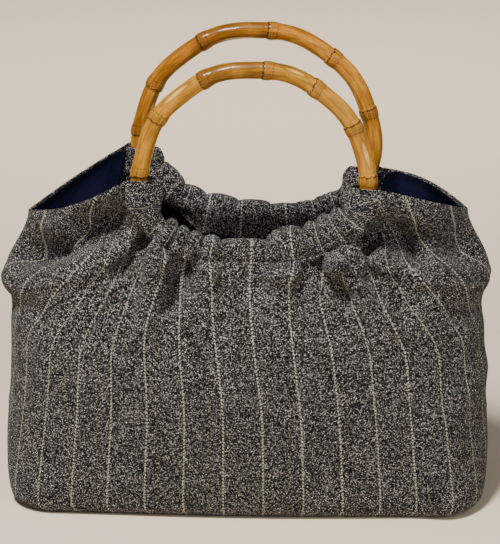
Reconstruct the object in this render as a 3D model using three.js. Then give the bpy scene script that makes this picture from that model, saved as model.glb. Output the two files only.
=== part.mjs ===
// Soft tweed handbag gathered onto two bamboo ring handles.
// Millimetres, +Z up. The origin is the middle of the base on the floor, and the front faces -Y.
import * as THREE from "three";
import { mergeVertices } from "three/addons/utils/BufferGeometryUtils.js";

// Cloth
const TWEED = 1.5; // thickness of the woven wool
const LINING = 1.0; // thickness of the lining twill
const PANEL_CLOTH = 390; // width of cloth in one panel, side seam to side seam
const CASING_CLOTH = 244; // middle of that width, which is gathered onto the handle
const SEAM_GAP = 0.4; // space left between the two panels where they are sewn

// Handles: canes bent into a ring, half round above and flatter where the casing hides it
const CANE = 11; // diameter of the bamboo
const HIDDEN_CANE = 8; // its diameter inside the casing, where it is shaved down
const SHAVED = { from: 0.35, to: 0.7 }; // where that starts and ends, as shares of the sag
const KNUCKLE_RISE = 0.09; // how much a knuckle stands out, as a share of the cane
const HANDLE_GAP = 70; // from the front ring's plane to the back one's
const LOWER_SQUARENESS = 2.4; // 2 would make the hidden arc an ellipse
const RING_STEPS = 64;
const CANE_SIDES = 8;
// Each handle: its side of the bag, its ring's half width, rise and sag from the middle, that middle,
// the lean of its right side downwards, how far below the middle the casing starts at its left and
// right leg, where its knuckles are, and how far its panel's left and right hems dip.
// Angles are in degrees.
const HANDLES = [
  {
    name: "front", side: -1, radius: 71.9, rise: 72.8, sag: 43.5, x: 5, z: 219.5,
    lean: 1.7, leftSlip: 0, rightSlip: 0, knuckles: [3, 31, 58, 85, 117, 147, 176],
    leftDip: 2, rightDip: -3.5,
  },
  {
    name: "back", side: 1, radius: 77.2, rise: 76.6, sag: 47.5, x: 4.8, z: 226.7,
    lean: 1.7, leftSlip: 3, rightSlip: 12, knuckles: [17, 50, 84, 118, 149, 176],
    leftDip: 1.5, rightDip: -2.5,
  },
];

// Casing: the cloth folded over the hidden part of the ring and stitched below it
const CASING_CLEARANCE = 0.9; // between cane and cloth
const STITCH_DROP = 0.6; // from the casing's middle surface down to the stitch line
// Distance from the ring's plane there: of the inner layer, and of the outer one in the middle and at
// the sides
const STITCH_SPREAD = { inner: TWEED / 2 + 0.4, middle: TWEED / 2 + 3.6, sides: TWEED / 2 + 2 };
const STITCH_SIDES = { from: 0.15, to: 0.42 }; // places along the casing between those two
const CASING_TURNS = [60, 105, 150, 180, 210, 255, 300]; // degrees round the cane from the stitch line

// Sleeves: the ends of the casing, where its cloth runs on smoothly into the hems
const SLEEVE = { from: 0.62, to: 0.86 }; // places along the casing between which they start
const SLEEVE_CUFF = 0.5; // how much looser they are
const SLEEVE_ROOM = 4.5; // spare cloth on the ring's inner side
const SLEEVE_PINCH = 0.4; // how far that is pinched flat
const SLEEVE_NARROW = 8; // the higher, the nearer to the ring's inner side it keeps

// Gathers along each casing, left to right: share of its length, how far each lobe stands up from the
// plain casing, and how far the crease after it does
const GATHERS = {
  front: [
    { share: 0.17, rise: 1.4, crease: 0.2 },
    { share: 0.13, rise: 4.6, crease: 0.0 },
    { share: 0.065, rise: 2.4, crease: 0.2 },
    { share: 0.07, rise: 0.2, crease: 0.2 },
    { share: 0.085, rise: 0.0, crease: 0.6 },
    { share: 0.13, rise: 5.5, crease: 3.4 },
    { share: 0.06, rise: 4.8, crease: 1.8 },
    { share: 0.13, rise: 6.0, crease: 0.5 },
    { share: 0.16, rise: 2.0, crease: 0.0 },
  ],
  back: [
    { share: 0.19, rise: 1.5, crease: 0.2 },
    { share: 0.09, rise: 2.2, crease: 0.2 },
    { share: 0.08, rise: 0.2, crease: 0.0 },
    { share: 0.09, rise: 0.6, crease: 0.2 },
    { share: 0.12, rise: 0.8, crease: 0.2 },
    { share: 0.09, rise: 1.6, crease: 0.2 },
    { share: 0.1, rise: 1.8, crease: 0.0 },
    { share: 0.08, rise: 3.2, crease: 0.5 },
    { share: 0.16, rise: 1.5, crease: 0.0 },
  ],
};
const LOBE_ROUND = 0.6; // 1 would make the lobes sine waves
const LOBE_OUT = { stitched: 0.3, over: 0.45 }; // shares of its rise by which a lobe stands out in front
const LOBE_FOOT = -0.6; // cosine of the turn round the cane at which a lobe's rise starts
const NARROW_GATHER = 0.1; // gathers with a smaller share have fewer columns of faces
const GATHER_CROWDED = { from: 0.45, to: 0.8 }; // near the legs the lobes don't run down the wall
const GATHER_FADE = 26; // distance below the stitch line over which a lobe dies away

// Body sections from the floor up: half sizes, radius of the upright corner, and the swell of the front
const SECTIONS = [
  { name: "base_edge", height: TWEED / 2, halfWidth: 147, halfDepth: 52.5, corner: 22, bow: 3.5 },
  { name: "roll", height: 7, halfWidth: 155, halfDepth: 57.5, corner: 30, bow: 4.5 },
  { name: "low_wall", height: 36, halfWidth: 158.8, halfDepth: 58, corner: 46, bow: 8 },
  { name: "belly", height: 80, halfWidth: 156.2, halfDepth: 57, corner: 54, bow: 11 },
  { name: "waist", height: 112, halfWidth: 155.2, halfDepth: 54, corner: 52, bow: 10.5 },
  { name: "shoulder", height: 140, halfWidth: 157.4, halfDepth: 49, corner: 47, bow: 8 },
  { name: "crown", height: 158, halfWidth: 157, halfDepth: 43, corner: 41, bow: 4.5 },
  { name: "top", height: 178, halfWidth: 152, halfDepth: 38, corner: 36, bow: 0 },
];
const TOP_HEIGHT = SECTIONS.at(-1).height; // where the rows reach the top edge
const DRAPE_FROM = { middle: 95, seam: 150 }; // heights from which the wall leans towards the top edge
const DRAPE_FLARE = 2.4; // above 1 the cloth flares out below the casing
const WALL_ROWS = [7, 20, 42, 68, 94, 114, 130, 143, 154, 163, 171, TOP_HEIGHT]; // heights of the rows
const WING_COLUMNS = 6; // columns of faces between a side seam and a handle
const BASE_SEAM_HALF = 104; // half length of the seam along the middle of the base
const BASE_ROW = 0.75; // place of the row between that seam and the base's edge

// Swells of the sides: which side, the height, the half height, and how far out
const SHOULDERS = [
  { name: "left_shoulder", side: -1, height: 160, reach: 9, swell: 1.5 },
  { name: "left_waist", side: -1, height: 130, reach: 11, swell: -2 },
  { name: "right_shoulder", side: 1, height: 165, reach: 10, swell: 4 },
  { name: "right_waist", side: 1, height: 133, reach: 13, swell: -4 },
];
const SHOULDER_FROM = 0.5; // place across a panel from which they grow towards the seam

// Mouth: the hems rise from the side seams' tops to the handles
const CORNER = { x: 142, leftZ: 190.5, rightZ: 194 };
const HEM_ROUND = 2.6; // above 1 the mouth is rounder near its corners

// Folds of the front panel as seen from the front: height, which is negative for a dent, half width, and
// the x and z of the line each follows. The back panel has them mirrored.
const FOLDS = [
  { name: "left_dent", height: -8, width: 12, line: [[-143, 170], [-122, 177]] },
  { name: "left_pit", height: -12, width: 11, line: [[-104, 185], [-89, 190], [-74, 195]] },
  { name: "left_fold", height: 4, width: 9, line: [[-152, 150], [-126, 157], [-109, 164], [-72, 174]] },
  { name: "left_slot", height: -5, width: 6, line: [[-58, 192], [-64, 180], [-80, 166]] },
  { name: "left_ridge", height: 4.5, width: 9, line: [[-52, 172], [-59, 150], [-66, 124]] },
  { name: "left_crease", height: -4.5, width: 7, line: [[-36, 169], [-47, 145]] },
  { name: "right_pit", height: -12, width: 10, line: [[69, 191], [88, 187], [104, 183]] },
  { name: "right_dent", height: -7, width: 11, line: [[120, 179], [144, 171]] },
  { name: "right_fold", height: 4, width: 8, line: [[73, 176], [89, 171], [109, 166], [148, 156]] },
  { name: "right_crease", height: -4.5, width: 7, line: [[48, 170], [55, 159], [64, 150]] },
  { name: "right_ridge", height: 4.5, width: 8, line: [[58, 168], [69, 156], [95, 132]] },
  { name: "right_waist_dent", height: -2.5, width: 9, line: [[158, 136], [136, 132]] },
  { name: "right_low_fold", height: 2.5, width: 11, line: [[152, 90], [112, 42]] },
  { name: "left_waist_dent", height: -2.5, width: 8, line: [[-158, 134], [-128, 132]] },
];
const FOLD_CLEAR = 12; // folds die out this far below the top edge
const SEAM_CALM = 0.8; // and from this place across the panel to the side seam
const LEG_CALM = { at: 0.85, width: 0.2, share: 0.4 }; // and weaken where a leg holds the cloth tight

// Lining: inset from the panels' middle surface, less at the hems and under the casings, and clear of
// the dents and the sleeves
const LINING_INSET = 9;
const LINING_FLOOR = 0.9; // share of the way from the base's inner row to its edge at which its floor ends
const LINING_HEM_INSET = TWEED / 2 + 0.7 + LINING / 2;
const LINING_CASING_INSET = 5;
const LINING_LEG_INSET = 15;
const LINING_LEG = { from: 132, near: 0, far: 0.07 }; // where that starts: height, and places beside a leg
const LINING_CLOSE_FROM = { wing: 162, casing: 130 }; // heights from which it closes up to those
const LINING_ROWS = [12, 42, 84, 120, 146, 162, 170];
const LINING_HANG = { below: 2, above: 7, beside: 0.06 }; // it keeps clear of dents this near to it
const LINING_TOP = { wing: 176.5, casing: 168 };
const LINING_COLUMNS = { wing: 6, casing: 14 };
const LINING_STEP = 0.035; // it drops below the casing over this share of the panel on either side of a leg

const { clamp, lerp, smoothstep, degToRad } = THREE.MathUtils;
const CASING_SHARE = CASING_CLOTH / PANEL_CLOTH;
const OUTER = 1; // the casing's layer towards the outside
const INNER = -1; // and towards the inside
const HALF_TURN = 180; // degrees
const MITRE_LIMIT = 0.5; // a corner's offset grows to no more than the thickness over this
const NEARBY = 0.02; // step across a panel for measuring its direction
const ROUNDING = 1e-9;
const WELD = 1e-3; // points closer than this are one point

// A section of the body at any height, on a smooth curve through the table's rows.
function sectionAt(height) {
  const last = SECTIONS.length - 2;
  const found = SECTIONS.findIndex((row) => row.height > height) - 1;
  const i = found < 0 ? last : found;
  const [before, low, high, after] = [i - 1, i, i + 1, i + 2].map((k) => SECTIONS[clamp(k, 0, last + 1)]);
  const span = high.height - low.height;
  const k = (height - low.height) / span;
  const slope = (a, b, key) => (span * (b[key] - a[key])) / (b.height - a.height);
  const smooth = (key) => {
    const rise = high[key] - low[key];
    const start = slope(before, high, key);
    const end = slope(low, after, key);
    return low[key] + k * (start + k * (3 * rise - 2 * start - end + k * (start + end - 2 * rise)));
  };
  return {
    halfWidth: smooth("halfWidth"),
    halfDepth: smooth("halfDepth"),
    corner: smooth("corner"),
    bow: smooth("bow"),
  };
}

// A point of the section's front half: across runs from -1 at the left seam to 1 at the right one, and
// equal steps of it are equal lengths of cloth.
function outlinePoint({ halfWidth, halfDepth, corner, bow }, across) {
  const flat = halfWidth - corner;
  const arc = (Math.PI / 2) * corner;
  const length = Math.abs(across) * (flat + arc + halfDepth - corner);
  const turn = clamp((length - flat) / corner, 0, Math.PI / 2);
  const x = Math.min(length, flat) + corner * Math.sin(turn);
  const y = -halfDepth + corner * (1 - Math.cos(turn)) + Math.max(0, length - flat - arc);
  const swell = bow * Math.cos((Math.PI / 2) * Math.min(1, x / halfWidth)) ** 2;
  return { x: x * Math.sign(across), y: y - swell };
}

// A point of a handle's ring in its own frame: angle 0 is its right side and a quarter turn its top.
function ringPoint({ radius, rise, sag }, angle) {
  const lower = Math.sin(angle) < 0;
  const bend = (share) => Math.sign(share) * Math.abs(share) ** (lower ? 2 / LOWER_SQUARENESS : 1);
  return new THREE.Vector3(radius * bend(Math.cos(angle)), 0, (lower ? sag : rise) * bend(Math.sin(angle)));
}

class HandleRing extends THREE.Curve {
  constructor(handle) {
    super();
    this.handle = handle;
  }
  getPoint(share, target = new THREE.Vector3()) {
    return target.copy(ringPoint(this.handle, 2 * Math.PI * share));
  }
}

// Radius of the cane at a point of its ring: full in the open half, shaved down in the casing.
function caneRadius({ sag }, point) {
  return lerp(CANE, HIDDEN_CANE, smoothstep(-point.z / sag, SHAVED.from, SHAVED.to)) / 2;
}

function handleFrame({ side, x, z, lean }) {
  return new THREE.Matrix4().makeRotationY(degToRad(lean)).setPosition(x, (side * HANDLE_GAP) / 2, z);
}

// Places along a casing run from -1 at the left leg to 1 at the right one, over the lower half of the ring.
function casingCane(handle, along) {
  const degrees = lerp(180 + handle.leftSlip, 360 - handle.rightSlip, (along + 1) / 2);
  return ringPoint(handle, degToRad(degrees));
}

// 1 on the sleeves and 0 along most of the casing.
function sleeveShare(along) {
  return smoothstep(Math.abs(along), SLEEVE.from, SLEEVE.to);
}

function casingRadius(handle, along) {
  const cuff = SLEEVE_CUFF * sleeveShare(along);
  return caneRadius(handle, casingCane(handle, along)) + CASING_CLEARANCE + TWEED / 2 + cuff;
}

// How far the lobes of the gathers stand up at a place along the casing.
function gatherRise({ name }, along) {
  let start = -1;
  let before = 0;
  for (const { share, rise, crease } of GATHERS[name]) {
    const k = (along - start) / (2 * share);
    if (k >= 0 && k <= 1) {
      const level = lerp(before, crease, k);
      return level + (rise - level) * Math.abs(Math.sin(Math.PI * k)) ** LOBE_ROUND;
    }
    start += 2 * share;
    before = crease;
  }
  return 0;
}

// A point beside the cane: `inwards` leads to the ring's middle, and `outwards` away from the bag's middle.
function casingPoint(handle, along, inwards, outwards) {
  const cane = casingCane(handle, along);
  const steep = (share) => Math.sign(share) * Math.abs(share) ** (LOWER_SQUARENESS - 1);
  const middle = new THREE.Vector3(
    -steep(cane.x / handle.radius) / handle.radius,
    0,
    -steep(cane.z / handle.sag) / handle.sag,
  ).normalize();
  cane.addScaledVector(middle, inwards).setY(handle.side * outwards);
  return cane.applyMatrix4(handleFrame(handle));
}

// A point of the stitch line, on its outer layer or its inner one.
function stitchPoint(handle, along, layer) {
  const radius = casingRadius(handle, along);
  const sides = smoothstep(Math.abs(along), STITCH_SIDES.from, STITCH_SIDES.to);
  const creased = lerp(STITCH_SPREAD.middle, STITCH_SPREAD.sides, sides);
  const lobe = LOBE_OUT.stitched * gatherRise(handle, along);
  const outer = lerp(creased + lobe, radius, sleeveShare(along));
  return casingPoint(handle, along, -radius - STITCH_DROP, layer === OUTER ? outer : -STITCH_SPREAD.inner);
}

// Where a column of the panel ends: on the hem beside a handle, on the stitch line under it.
function topEdge(handle, across) {
  const along = across / CASING_SHARE;
  if (Math.abs(along) <= 1 + ROUNDING) return stitchPoint(handle, along, OUTER);
  const leg = stitchPoint(handle, Math.sign(across), OUTER);
  const k = (Math.abs(across) - CASING_SHARE) / (1 - CASING_SHARE);
  const [corner, dip] = across < 0 ? [CORNER.leftZ, handle.leftDip] : [CORNER.rightZ, handle.rightDip];
  const z = lerp(leg.z, corner, k) - dip * 4 * k * (1 - k);
  return new THREE.Vector3(lerp(leg.x, CORNER.x * Math.sign(across), k), leg.y * (1 - k ** HEM_ROUND), z);
}

// A point of the panel's smooth wall, before gathers and folds, at a row's height.
function wallPoint(handle, across, height) {
  const ring = outlinePoint(sectionAt(height), across);
  for (const shoulder of SHOULDERS) {
    const near = smoothstep(shoulder.side * across, SHOULDER_FROM, 1);
    const away = (height - shoulder.height) / shoulder.reach;
    ring.x += shoulder.side * shoulder.swell * near * Math.exp(-(away ** 2));
  }
  const top = topEdge(handle, across);
  const wing = smoothstep(Math.abs(across), CASING_SHARE, 1);
  const start = lerp(DRAPE_FROM.middle, DRAPE_FROM.seam, wing);
  const flared = clamp((height - start) / (TOP_HEIGHT - start), 0, 1) ** DRAPE_FLARE;
  const drape = lerp(flared, smoothstep(height, start, TOP_HEIGHT), wing);
  return new THREE.Vector3(
    lerp(ring.x, top.x, drape),
    lerp(-handle.side * ring.y, top.y, drape),
    height + (top.z - TOP_HEIGHT) * drape,
  );
}

// How far a wall point is pushed out by the gathers above it and by the folds.
function foldRise(handle, across, height, { x, z }) {
  const drop = TOP_HEIGHT - height;
  const along = across / CASING_SHARE;
  const crowded = 1 - smoothstep(Math.abs(along), GATHER_CROWDED.from, GATHER_CROWDED.to);
  const gathers = gatherRise(handle, clamp(along, -1, 1)) * crowded * Math.exp(-drop / GATHER_FADE);
  const place = new THREE.Vector2(-handle.side * x, z);
  const folds = FOLDS.reduce((sum, { height: rise, width, line }) => {
    const corners = line.map(([cornerX, cornerZ]) => new THREE.Vector2(cornerX, cornerZ));
    const away = Math.min(...corners.slice(1).map((end, i) => {
      const run = end.clone().sub(corners[i]);
      const from = place.clone().sub(corners[i]);
      return from.addScaledVector(run, -clamp(from.dot(run) / run.lengthSq(), 0, 1)).length();
    }));
    return sum + rise * Math.exp(-((away / width) ** 2));
  }, 0);
  const seamCalm = 1 - smoothstep(Math.abs(across), SEAM_CALM, 1);
  const legCalm = 1 - LEG_CALM.share * Math.exp(-(((Math.abs(along) - LEG_CALM.at) / LEG_CALM.width) ** 2));
  return (gathers + folds * seamCalm * legCalm) * smoothstep(drop, 0, FOLD_CLEAR);
}

// Columns across a panel: a wide gather has four and a narrow one two, and the wings an even spread.
function panelColumns({ name }) {
  const wing = Array.from({ length: WING_COLUMNS }, (_, i) => lerp(-1, -CASING_SHARE, i / WING_COLUMNS));
  const casing = [];
  let start = -1;
  for (const { share } of GATHERS[name]) {
    const parts = share < NARROW_GATHER ? 2 : 4;
    for (let i = 0; i < parts; i++) casing.push((start + (2 * share * i) / parts) * CASING_SHARE);
    start += 2 * share;
  }
  const right = wing.map((across) => -across).reverse();
  return [...wing, ...casing, CASING_SHARE, ...right];
}

// The flat base under one column, from the seam along its middle to its edge.
function basePoints(handle, across) {
  const seam = new THREE.Vector3(BASE_SEAM_HALF * across, 0, TWEED / 2);
  const ring = outlinePoint(SECTIONS[0], across);
  const edge = new THREE.Vector3(ring.x, -handle.side * ring.y, TWEED / 2);
  return [seam, seam.clone().lerp(edge, BASE_ROW), edge];
}

// The cloth over the cane in one column, from above the stitch line outside to the stitch line inside.
// On the sleeves it is flat in front of the cane, and what is spare lies on the ring's inner side.
function casingPoints(handle, along) {
  const radius = casingRadius(handle, along);
  const rise = gatherRise(handle, along);
  const sleeve = sleeveShare(along);
  const turns = CASING_TURNS.map((degrees) => {
    const turn = degToRad(degrees);
    const front = smoothstep(turn, 0, Math.PI / 2);
    const lobe = degrees < HALF_TURN ? rise * lerp(LOBE_OUT.stitched, LOBE_OUT.over, front) : 0;
    const rounded = degrees < HALF_TURN / 2 ? lerp(Math.sin(turn), 1, sleeve) : Math.sin(turn);
    const spare = sleeve * Math.sin(turn / 2) ** SLEEVE_NARROW;
    const raised = rise * smoothstep(-Math.cos(turn), LOBE_FOOT, 1) + SLEEVE_ROOM * spare;
    const outwards = (radius + lobe) * rounded * (1 - SLEEVE_PINCH * spare);
    return casingPoint(handle, along, raised - radius * Math.cos(turn), outwards);
  });
  return [...turns, stitchPoint(handle, along, INNER)];
}

// A sheet is a list of points, and faces of four points each that turn the cloth's right side outwards.
function addFace(sheet, side, a, b, c, d) {
  sheet.faces.push(side < 0 ? [a, b, c, d] : [d, c, b, a]);
}

function faceNormal(points, [a, b, c, d]) {
  const across = points[c].clone().sub(points[a]);
  return across.cross(points[d].clone().sub(points[b])).normalize();
}

// Offset directions at a sheet's points, long enough to keep a wall's thickness round a corner.
// Points on a seam stay in the seam's plane, y = 0.
function offsets(sheet) {
  const normals = sheet.points.map(() => new THREE.Vector3());
  const faceNormals = sheet.faces.map((face) => faceNormal(sheet.points, face));
  sheet.faces.forEach((face, i) => face.forEach((p) => normals[p].add(faceNormals[i])));
  normals.forEach((normal, p) => normal.setY(sheet.seam.has(p) ? 0 : normal.y).normalize());
  const facing = normals.map(() => []);
  sheet.faces.forEach((face, i) => face.forEach((p) => facing[p].push(normals[p].dot(faceNormals[i]))));
  return normals.map((normal, p) => {
    const mean = facing[p].reduce((sum, cosine) => sum + cosine, 0) / facing[p].length;
    return normal.multiplyScalar(1 / Math.max(MITRE_LIMIT, mean));
  });
}

// A closed wall between two offsets of a sheet.
function thicken(sheet, outer, inner) {
  const directions = offsets(sheet);
  const count = sheet.points.length;
  const layer = (away) => sheet.points.map((point, i) => point.clone().addScaledVector(directions[i], away));
  const vertices = [...layer(outer), ...layer(inner)];
  const edges = new Map();
  const triangles = [];
  const quad = (a, b, c, d) => triangles.push(a, b, c, a, c, d);
  for (const [a, b, c, d] of sheet.faces) {
    quad(a, b, c, d);
    quad(d + count, c + count, b + count, a + count);
    for (const [from, to] of [[a, b], [b, c], [c, d], [d, a]]) edges.set(`${from},${to}`, [from, to]);
  }
  for (const [from, to] of edges.values()) {
    if (!edges.has(`${to},${from}`)) quad(to, from, from + count, to + count);
  }
  const geometry = new THREE.BufferGeometry().setFromPoints(vertices).setIndex(triangles);
  geometry.computeVertexNormals();
  return geometry;
}

// The wall of one panel up to its top edge: the smooth wall, pushed out along its normals.
function foldedWall(handle, columns) {
  const smooth = columns.map((across) => WALL_ROWS.map((height) => wallPoint(handle, across, height)));
  const last = columns.length - 1;
  const top = WALL_ROWS.length - 1;
  return smooth.map((column, i) => column.map((point, j) => {
    const sideways = smooth[Math.min(i + 1, last)][j].clone().sub(smooth[Math.max(i - 1, 0)][j]);
    const upwards = column[Math.min(j + 1, top)].clone().sub(column[Math.max(j - 1, 0)]);
    const outwards = sideways.cross(upwards).normalize().multiplyScalar(-handle.side);
    return point.clone().addScaledVector(outwards, foldRise(handle, columns[i], WALL_ROWS[j], point));
  }));
}

// One panel: half of the base, the wall, and the casing that folds over the handle to the inside.
function panelSheet(handle) {
  const columns = panelColumns(handle);
  const wall = foldedWall(handle, columns);
  const sheet = { points: [], faces: [], seam: new Set() };
  const seamY = (handle.side * SEAM_GAP) / 2;
  const grid = columns.map((across, i) => {
    const along = across / CASING_SHARE;
    const gathered = Math.abs(along) <= 1 + ROUNDING;
    const below = [...basePoints(handle, across), ...wall[i]];
    const column = gathered ? [...below, ...casingPoints(handle, along)] : below;
    return column.map((point, j) => {
      const index = sheet.points.push(point) - 1;
      const onSeam = Math.abs(across) === 1 || j === 0;
      if (onSeam) {
        sheet.seam.add(index);
        point.setY(seamY);
      }
      return index;
    });
  });
  for (let i = 0; i + 1 < grid.length; i++) {
    const [left, right] = [grid[i], grid[i + 1]];
    for (let j = 0; j + 1 < Math.min(left.length, right.length); j++) {
      addFace(sheet, handle.side, left[j], right[j], right[j + 1], left[j + 1]);
    }
  }
  return sheet;
}

// The deepest dent of a panel near a place of the lining and just above it.
function deepestDent(handle, across, height) {
  const places = [-LINING_HANG.beside, 0, LINING_HANG.beside].map((step) => clamp(across + step, -1, 1));
  const heights = [height - LINING_HANG.below, height, Math.min(TOP_HEIGHT, height + LINING_HANG.above)];
  const rises = places.flatMap((near) => heights.map((row) => {
    return foldRise(handle, near, row, wallPoint(handle, near, row));
  }));
  return Math.max(0, -Math.min(...rises));
}

// One column of the lining, inset from the panel's smooth wall: its base, its wall and its top edge.
function liningColumn(handle, across) {
  const wingShare = smoothstep(Math.abs(across), CASING_SHARE - LINING_STEP, CASING_SHARE + LINING_STEP);
  const top = lerp(LINING_TOP.casing, LINING_TOP.wing, wingShare);
  const floor = basePoints(handle, across).map((p) => p.setZ(LINING_HEM_INSET + TWEED / 2));
  floor[2].lerpVectors(floor[1], floor[2].clone(), LINING_FLOOR);
  const legAway = Math.abs(Math.abs(across) - CASING_SHARE);
  const legShare = 1 - smoothstep(legAway, LINING_LEG.near, LINING_LEG.far);
  const rows = [...LINING_ROWS.map((height) => (height * top) / LINING_TOP.wing), top];
  const wall = rows.map((height) => {
    const near = smoothstep(height, lerp(LINING_CLOSE_FROM.casing, LINING_CLOSE_FROM.wing, wingShare), top);
    const leg = legShare * smoothstep(height, LINING_LEG.from, top);
    const dent = deepestDent(handle, across, height);
    const close = lerp(LINING_CASING_INSET, LINING_HEM_INSET, wingShare);
    const inset = lerp(lerp(LINING_INSET, close, near) + dent, LINING_LEG_INSET + dent / 2, leg);
    const point = wallPoint(handle, across, height);
    const right = wallPoint(handle, Math.min(1, across + NEARBY), height);
    const left = wallPoint(handle, Math.max(-1, across - NEARBY), height);
    const inwards = new THREE.Vector3(left.y - right.y, right.x - left.x, 0).normalize();
    inwards.multiplyScalar(-handle.side);
    const onSeam = Math.abs(across) === 1;
    if (onSeam) inwards.set(-Math.sign(across) / Math.max(MITRE_LIMIT, Math.abs(inwards.x)), 0, 0);
    return point.addScaledVector(inwards, inset);
  });
  return [...floor, ...wall];
}

// The lining is one bag: the front and back share the columns at the side seams and the base's middle.
function liningSheet() {
  const { wing, casing } = LINING_COLUMNS;
  const spread = (from, to, parts) => {
    return Array.from({ length: parts + 1 }, (_, i) => lerp(from, to, i / parts));
  };
  const left = spread(-1, -CASING_SHARE - LINING_STEP, wing);
  const middle = spread(-CASING_SHARE + LINING_STEP, CASING_SHARE - LINING_STEP, casing);
  const half = [...left, ...middle, ...left.map((across) => -across).reverse()];
  const sheet = { points: [], faces: [], seam: new Set() };
  const shared = new Map();
  const add = (point, key) => {
    if (!shared.has(key)) shared.set(key, sheet.points.push(point) - 1);
    return shared.get(key);
  };
  for (const handle of HANDLES) {
    const grid = half.map((across, i) => liningColumn(handle, across).map((point, j) => {
      const onSeam = Math.abs(across) === 1 || j === 0;
      if (onSeam) point.setY(0);
      return add(point, onSeam ? `${i},${j}` : `${handle.name},${i},${j}`);
    }));
    for (let i = 0; i + 1 < grid.length; i++) {
      for (let j = 0; j + 1 < grid[i].length; j++) {
        addFace(sheet, handle.side, grid[i][j], grid[i + 1][j], grid[i + 1][j + 1], grid[i][j + 1]);
      }
    }
  }
  return sheet;
}

// A bamboo ring: a closed tube along the ring, with its knuckles raised.
function handleGeometry(handle) {
  const ring = new HandleRing(handle);
  const tube = new THREE.TubeGeometry(ring, RING_STEPS, CANE / 2, CANE_SIDES, true);
  const places = tube.getAttribute("position");
  const centres = Array.from({ length: RING_STEPS + 1 }, (_, i) => ring.getPointAt(i / RING_STEPS));
  const nearest = handle.knuckles.map((degrees) => {
    const knuckle = ringPoint(handle, degToRad(degrees));
    const away = centres.slice(0, RING_STEPS).map((centre) => centre.distanceTo(knuckle));
    return away.indexOf(Math.min(...away));
  });
  for (let i = 0; i < places.count; i++) {
    const step = Math.floor(i / (CANE_SIDES + 1));
    const knuckle = nearest.includes(step % RING_STEPS) ? 1 + KNUCKLE_RISE : 1;
    const radius = caneRadius(handle, centres[step]) * knuckle;
    const point = new THREE.Vector3().fromBufferAttribute(places, i);
    point.sub(centres[step]).setLength(radius).add(centres[step]);
    places.setXYZ(i, point.x, point.y, point.z);
  }
  tube.deleteAttribute("normal").deleteAttribute("uv");
  const solid = mergeVertices(tube, WELD);
  solid.computeVertexNormals();
  return solid;
}

const tweed = new THREE.MeshStandardMaterial({ color: 0x56565a, roughness: 0.95, metalness: 0 });
const navyTwill = new THREE.MeshStandardMaterial({ color: 0x0f1430, roughness: 0.6, metalness: 0 });
const bamboo = new THREE.MeshStandardMaterial({ color: 0xc8964f, roughness: 0.3, metalness: 0 });

function namedMesh(name, geometry, material) {
  const mesh = new THREE.Mesh(geometry, material);
  mesh.name = name;
  return mesh;
}

const bag = new THREE.Group();
for (const handle of HANDLES) {
  bag.add(namedMesh(`${handle.name}_panel`, thicken(panelSheet(handle), TWEED / 2, -TWEED / 2), tweed));
  const ring = namedMesh(`${handle.name}_handle`, handleGeometry(handle), bamboo);
  ring.applyMatrix4(handleFrame(handle));
  bag.add(ring);
}
bag.add(namedMesh("lining", thicken(liningSheet(), LINING / 2, -LINING / 2), navyTwill));

export default bag;
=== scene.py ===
"""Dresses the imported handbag: tweed panels gathered onto bamboo rings, over a navy twill lining."""
import math
from functools import partial

import bpy
import numpy as np
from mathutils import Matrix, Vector


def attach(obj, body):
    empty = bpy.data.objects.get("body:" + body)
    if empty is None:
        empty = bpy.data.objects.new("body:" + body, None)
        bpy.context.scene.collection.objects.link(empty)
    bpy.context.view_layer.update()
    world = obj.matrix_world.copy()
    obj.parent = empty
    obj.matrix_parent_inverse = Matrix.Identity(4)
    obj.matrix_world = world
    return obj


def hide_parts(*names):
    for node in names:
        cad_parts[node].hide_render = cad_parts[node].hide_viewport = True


bl_info = {
    "name": "Gathered Tweed Handbag",
    "version": (1, 0, 0),
    "blender": (4, 5, 0),
    "location": "3D View > Sidebar > Handbag",
    "description": "Builds a soft tweed handbag with bamboo ring handles over its packed frame",
    "category": "Object",
}

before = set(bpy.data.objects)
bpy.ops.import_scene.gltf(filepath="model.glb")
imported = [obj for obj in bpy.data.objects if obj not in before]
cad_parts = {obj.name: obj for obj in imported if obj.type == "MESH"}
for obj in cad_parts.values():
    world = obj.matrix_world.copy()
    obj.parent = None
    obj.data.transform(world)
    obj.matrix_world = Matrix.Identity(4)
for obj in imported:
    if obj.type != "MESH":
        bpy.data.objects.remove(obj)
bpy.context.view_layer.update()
BODY = "root"
MM = 0.001  # the tables below are in millimetres, and Blender's objects in metres

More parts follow.
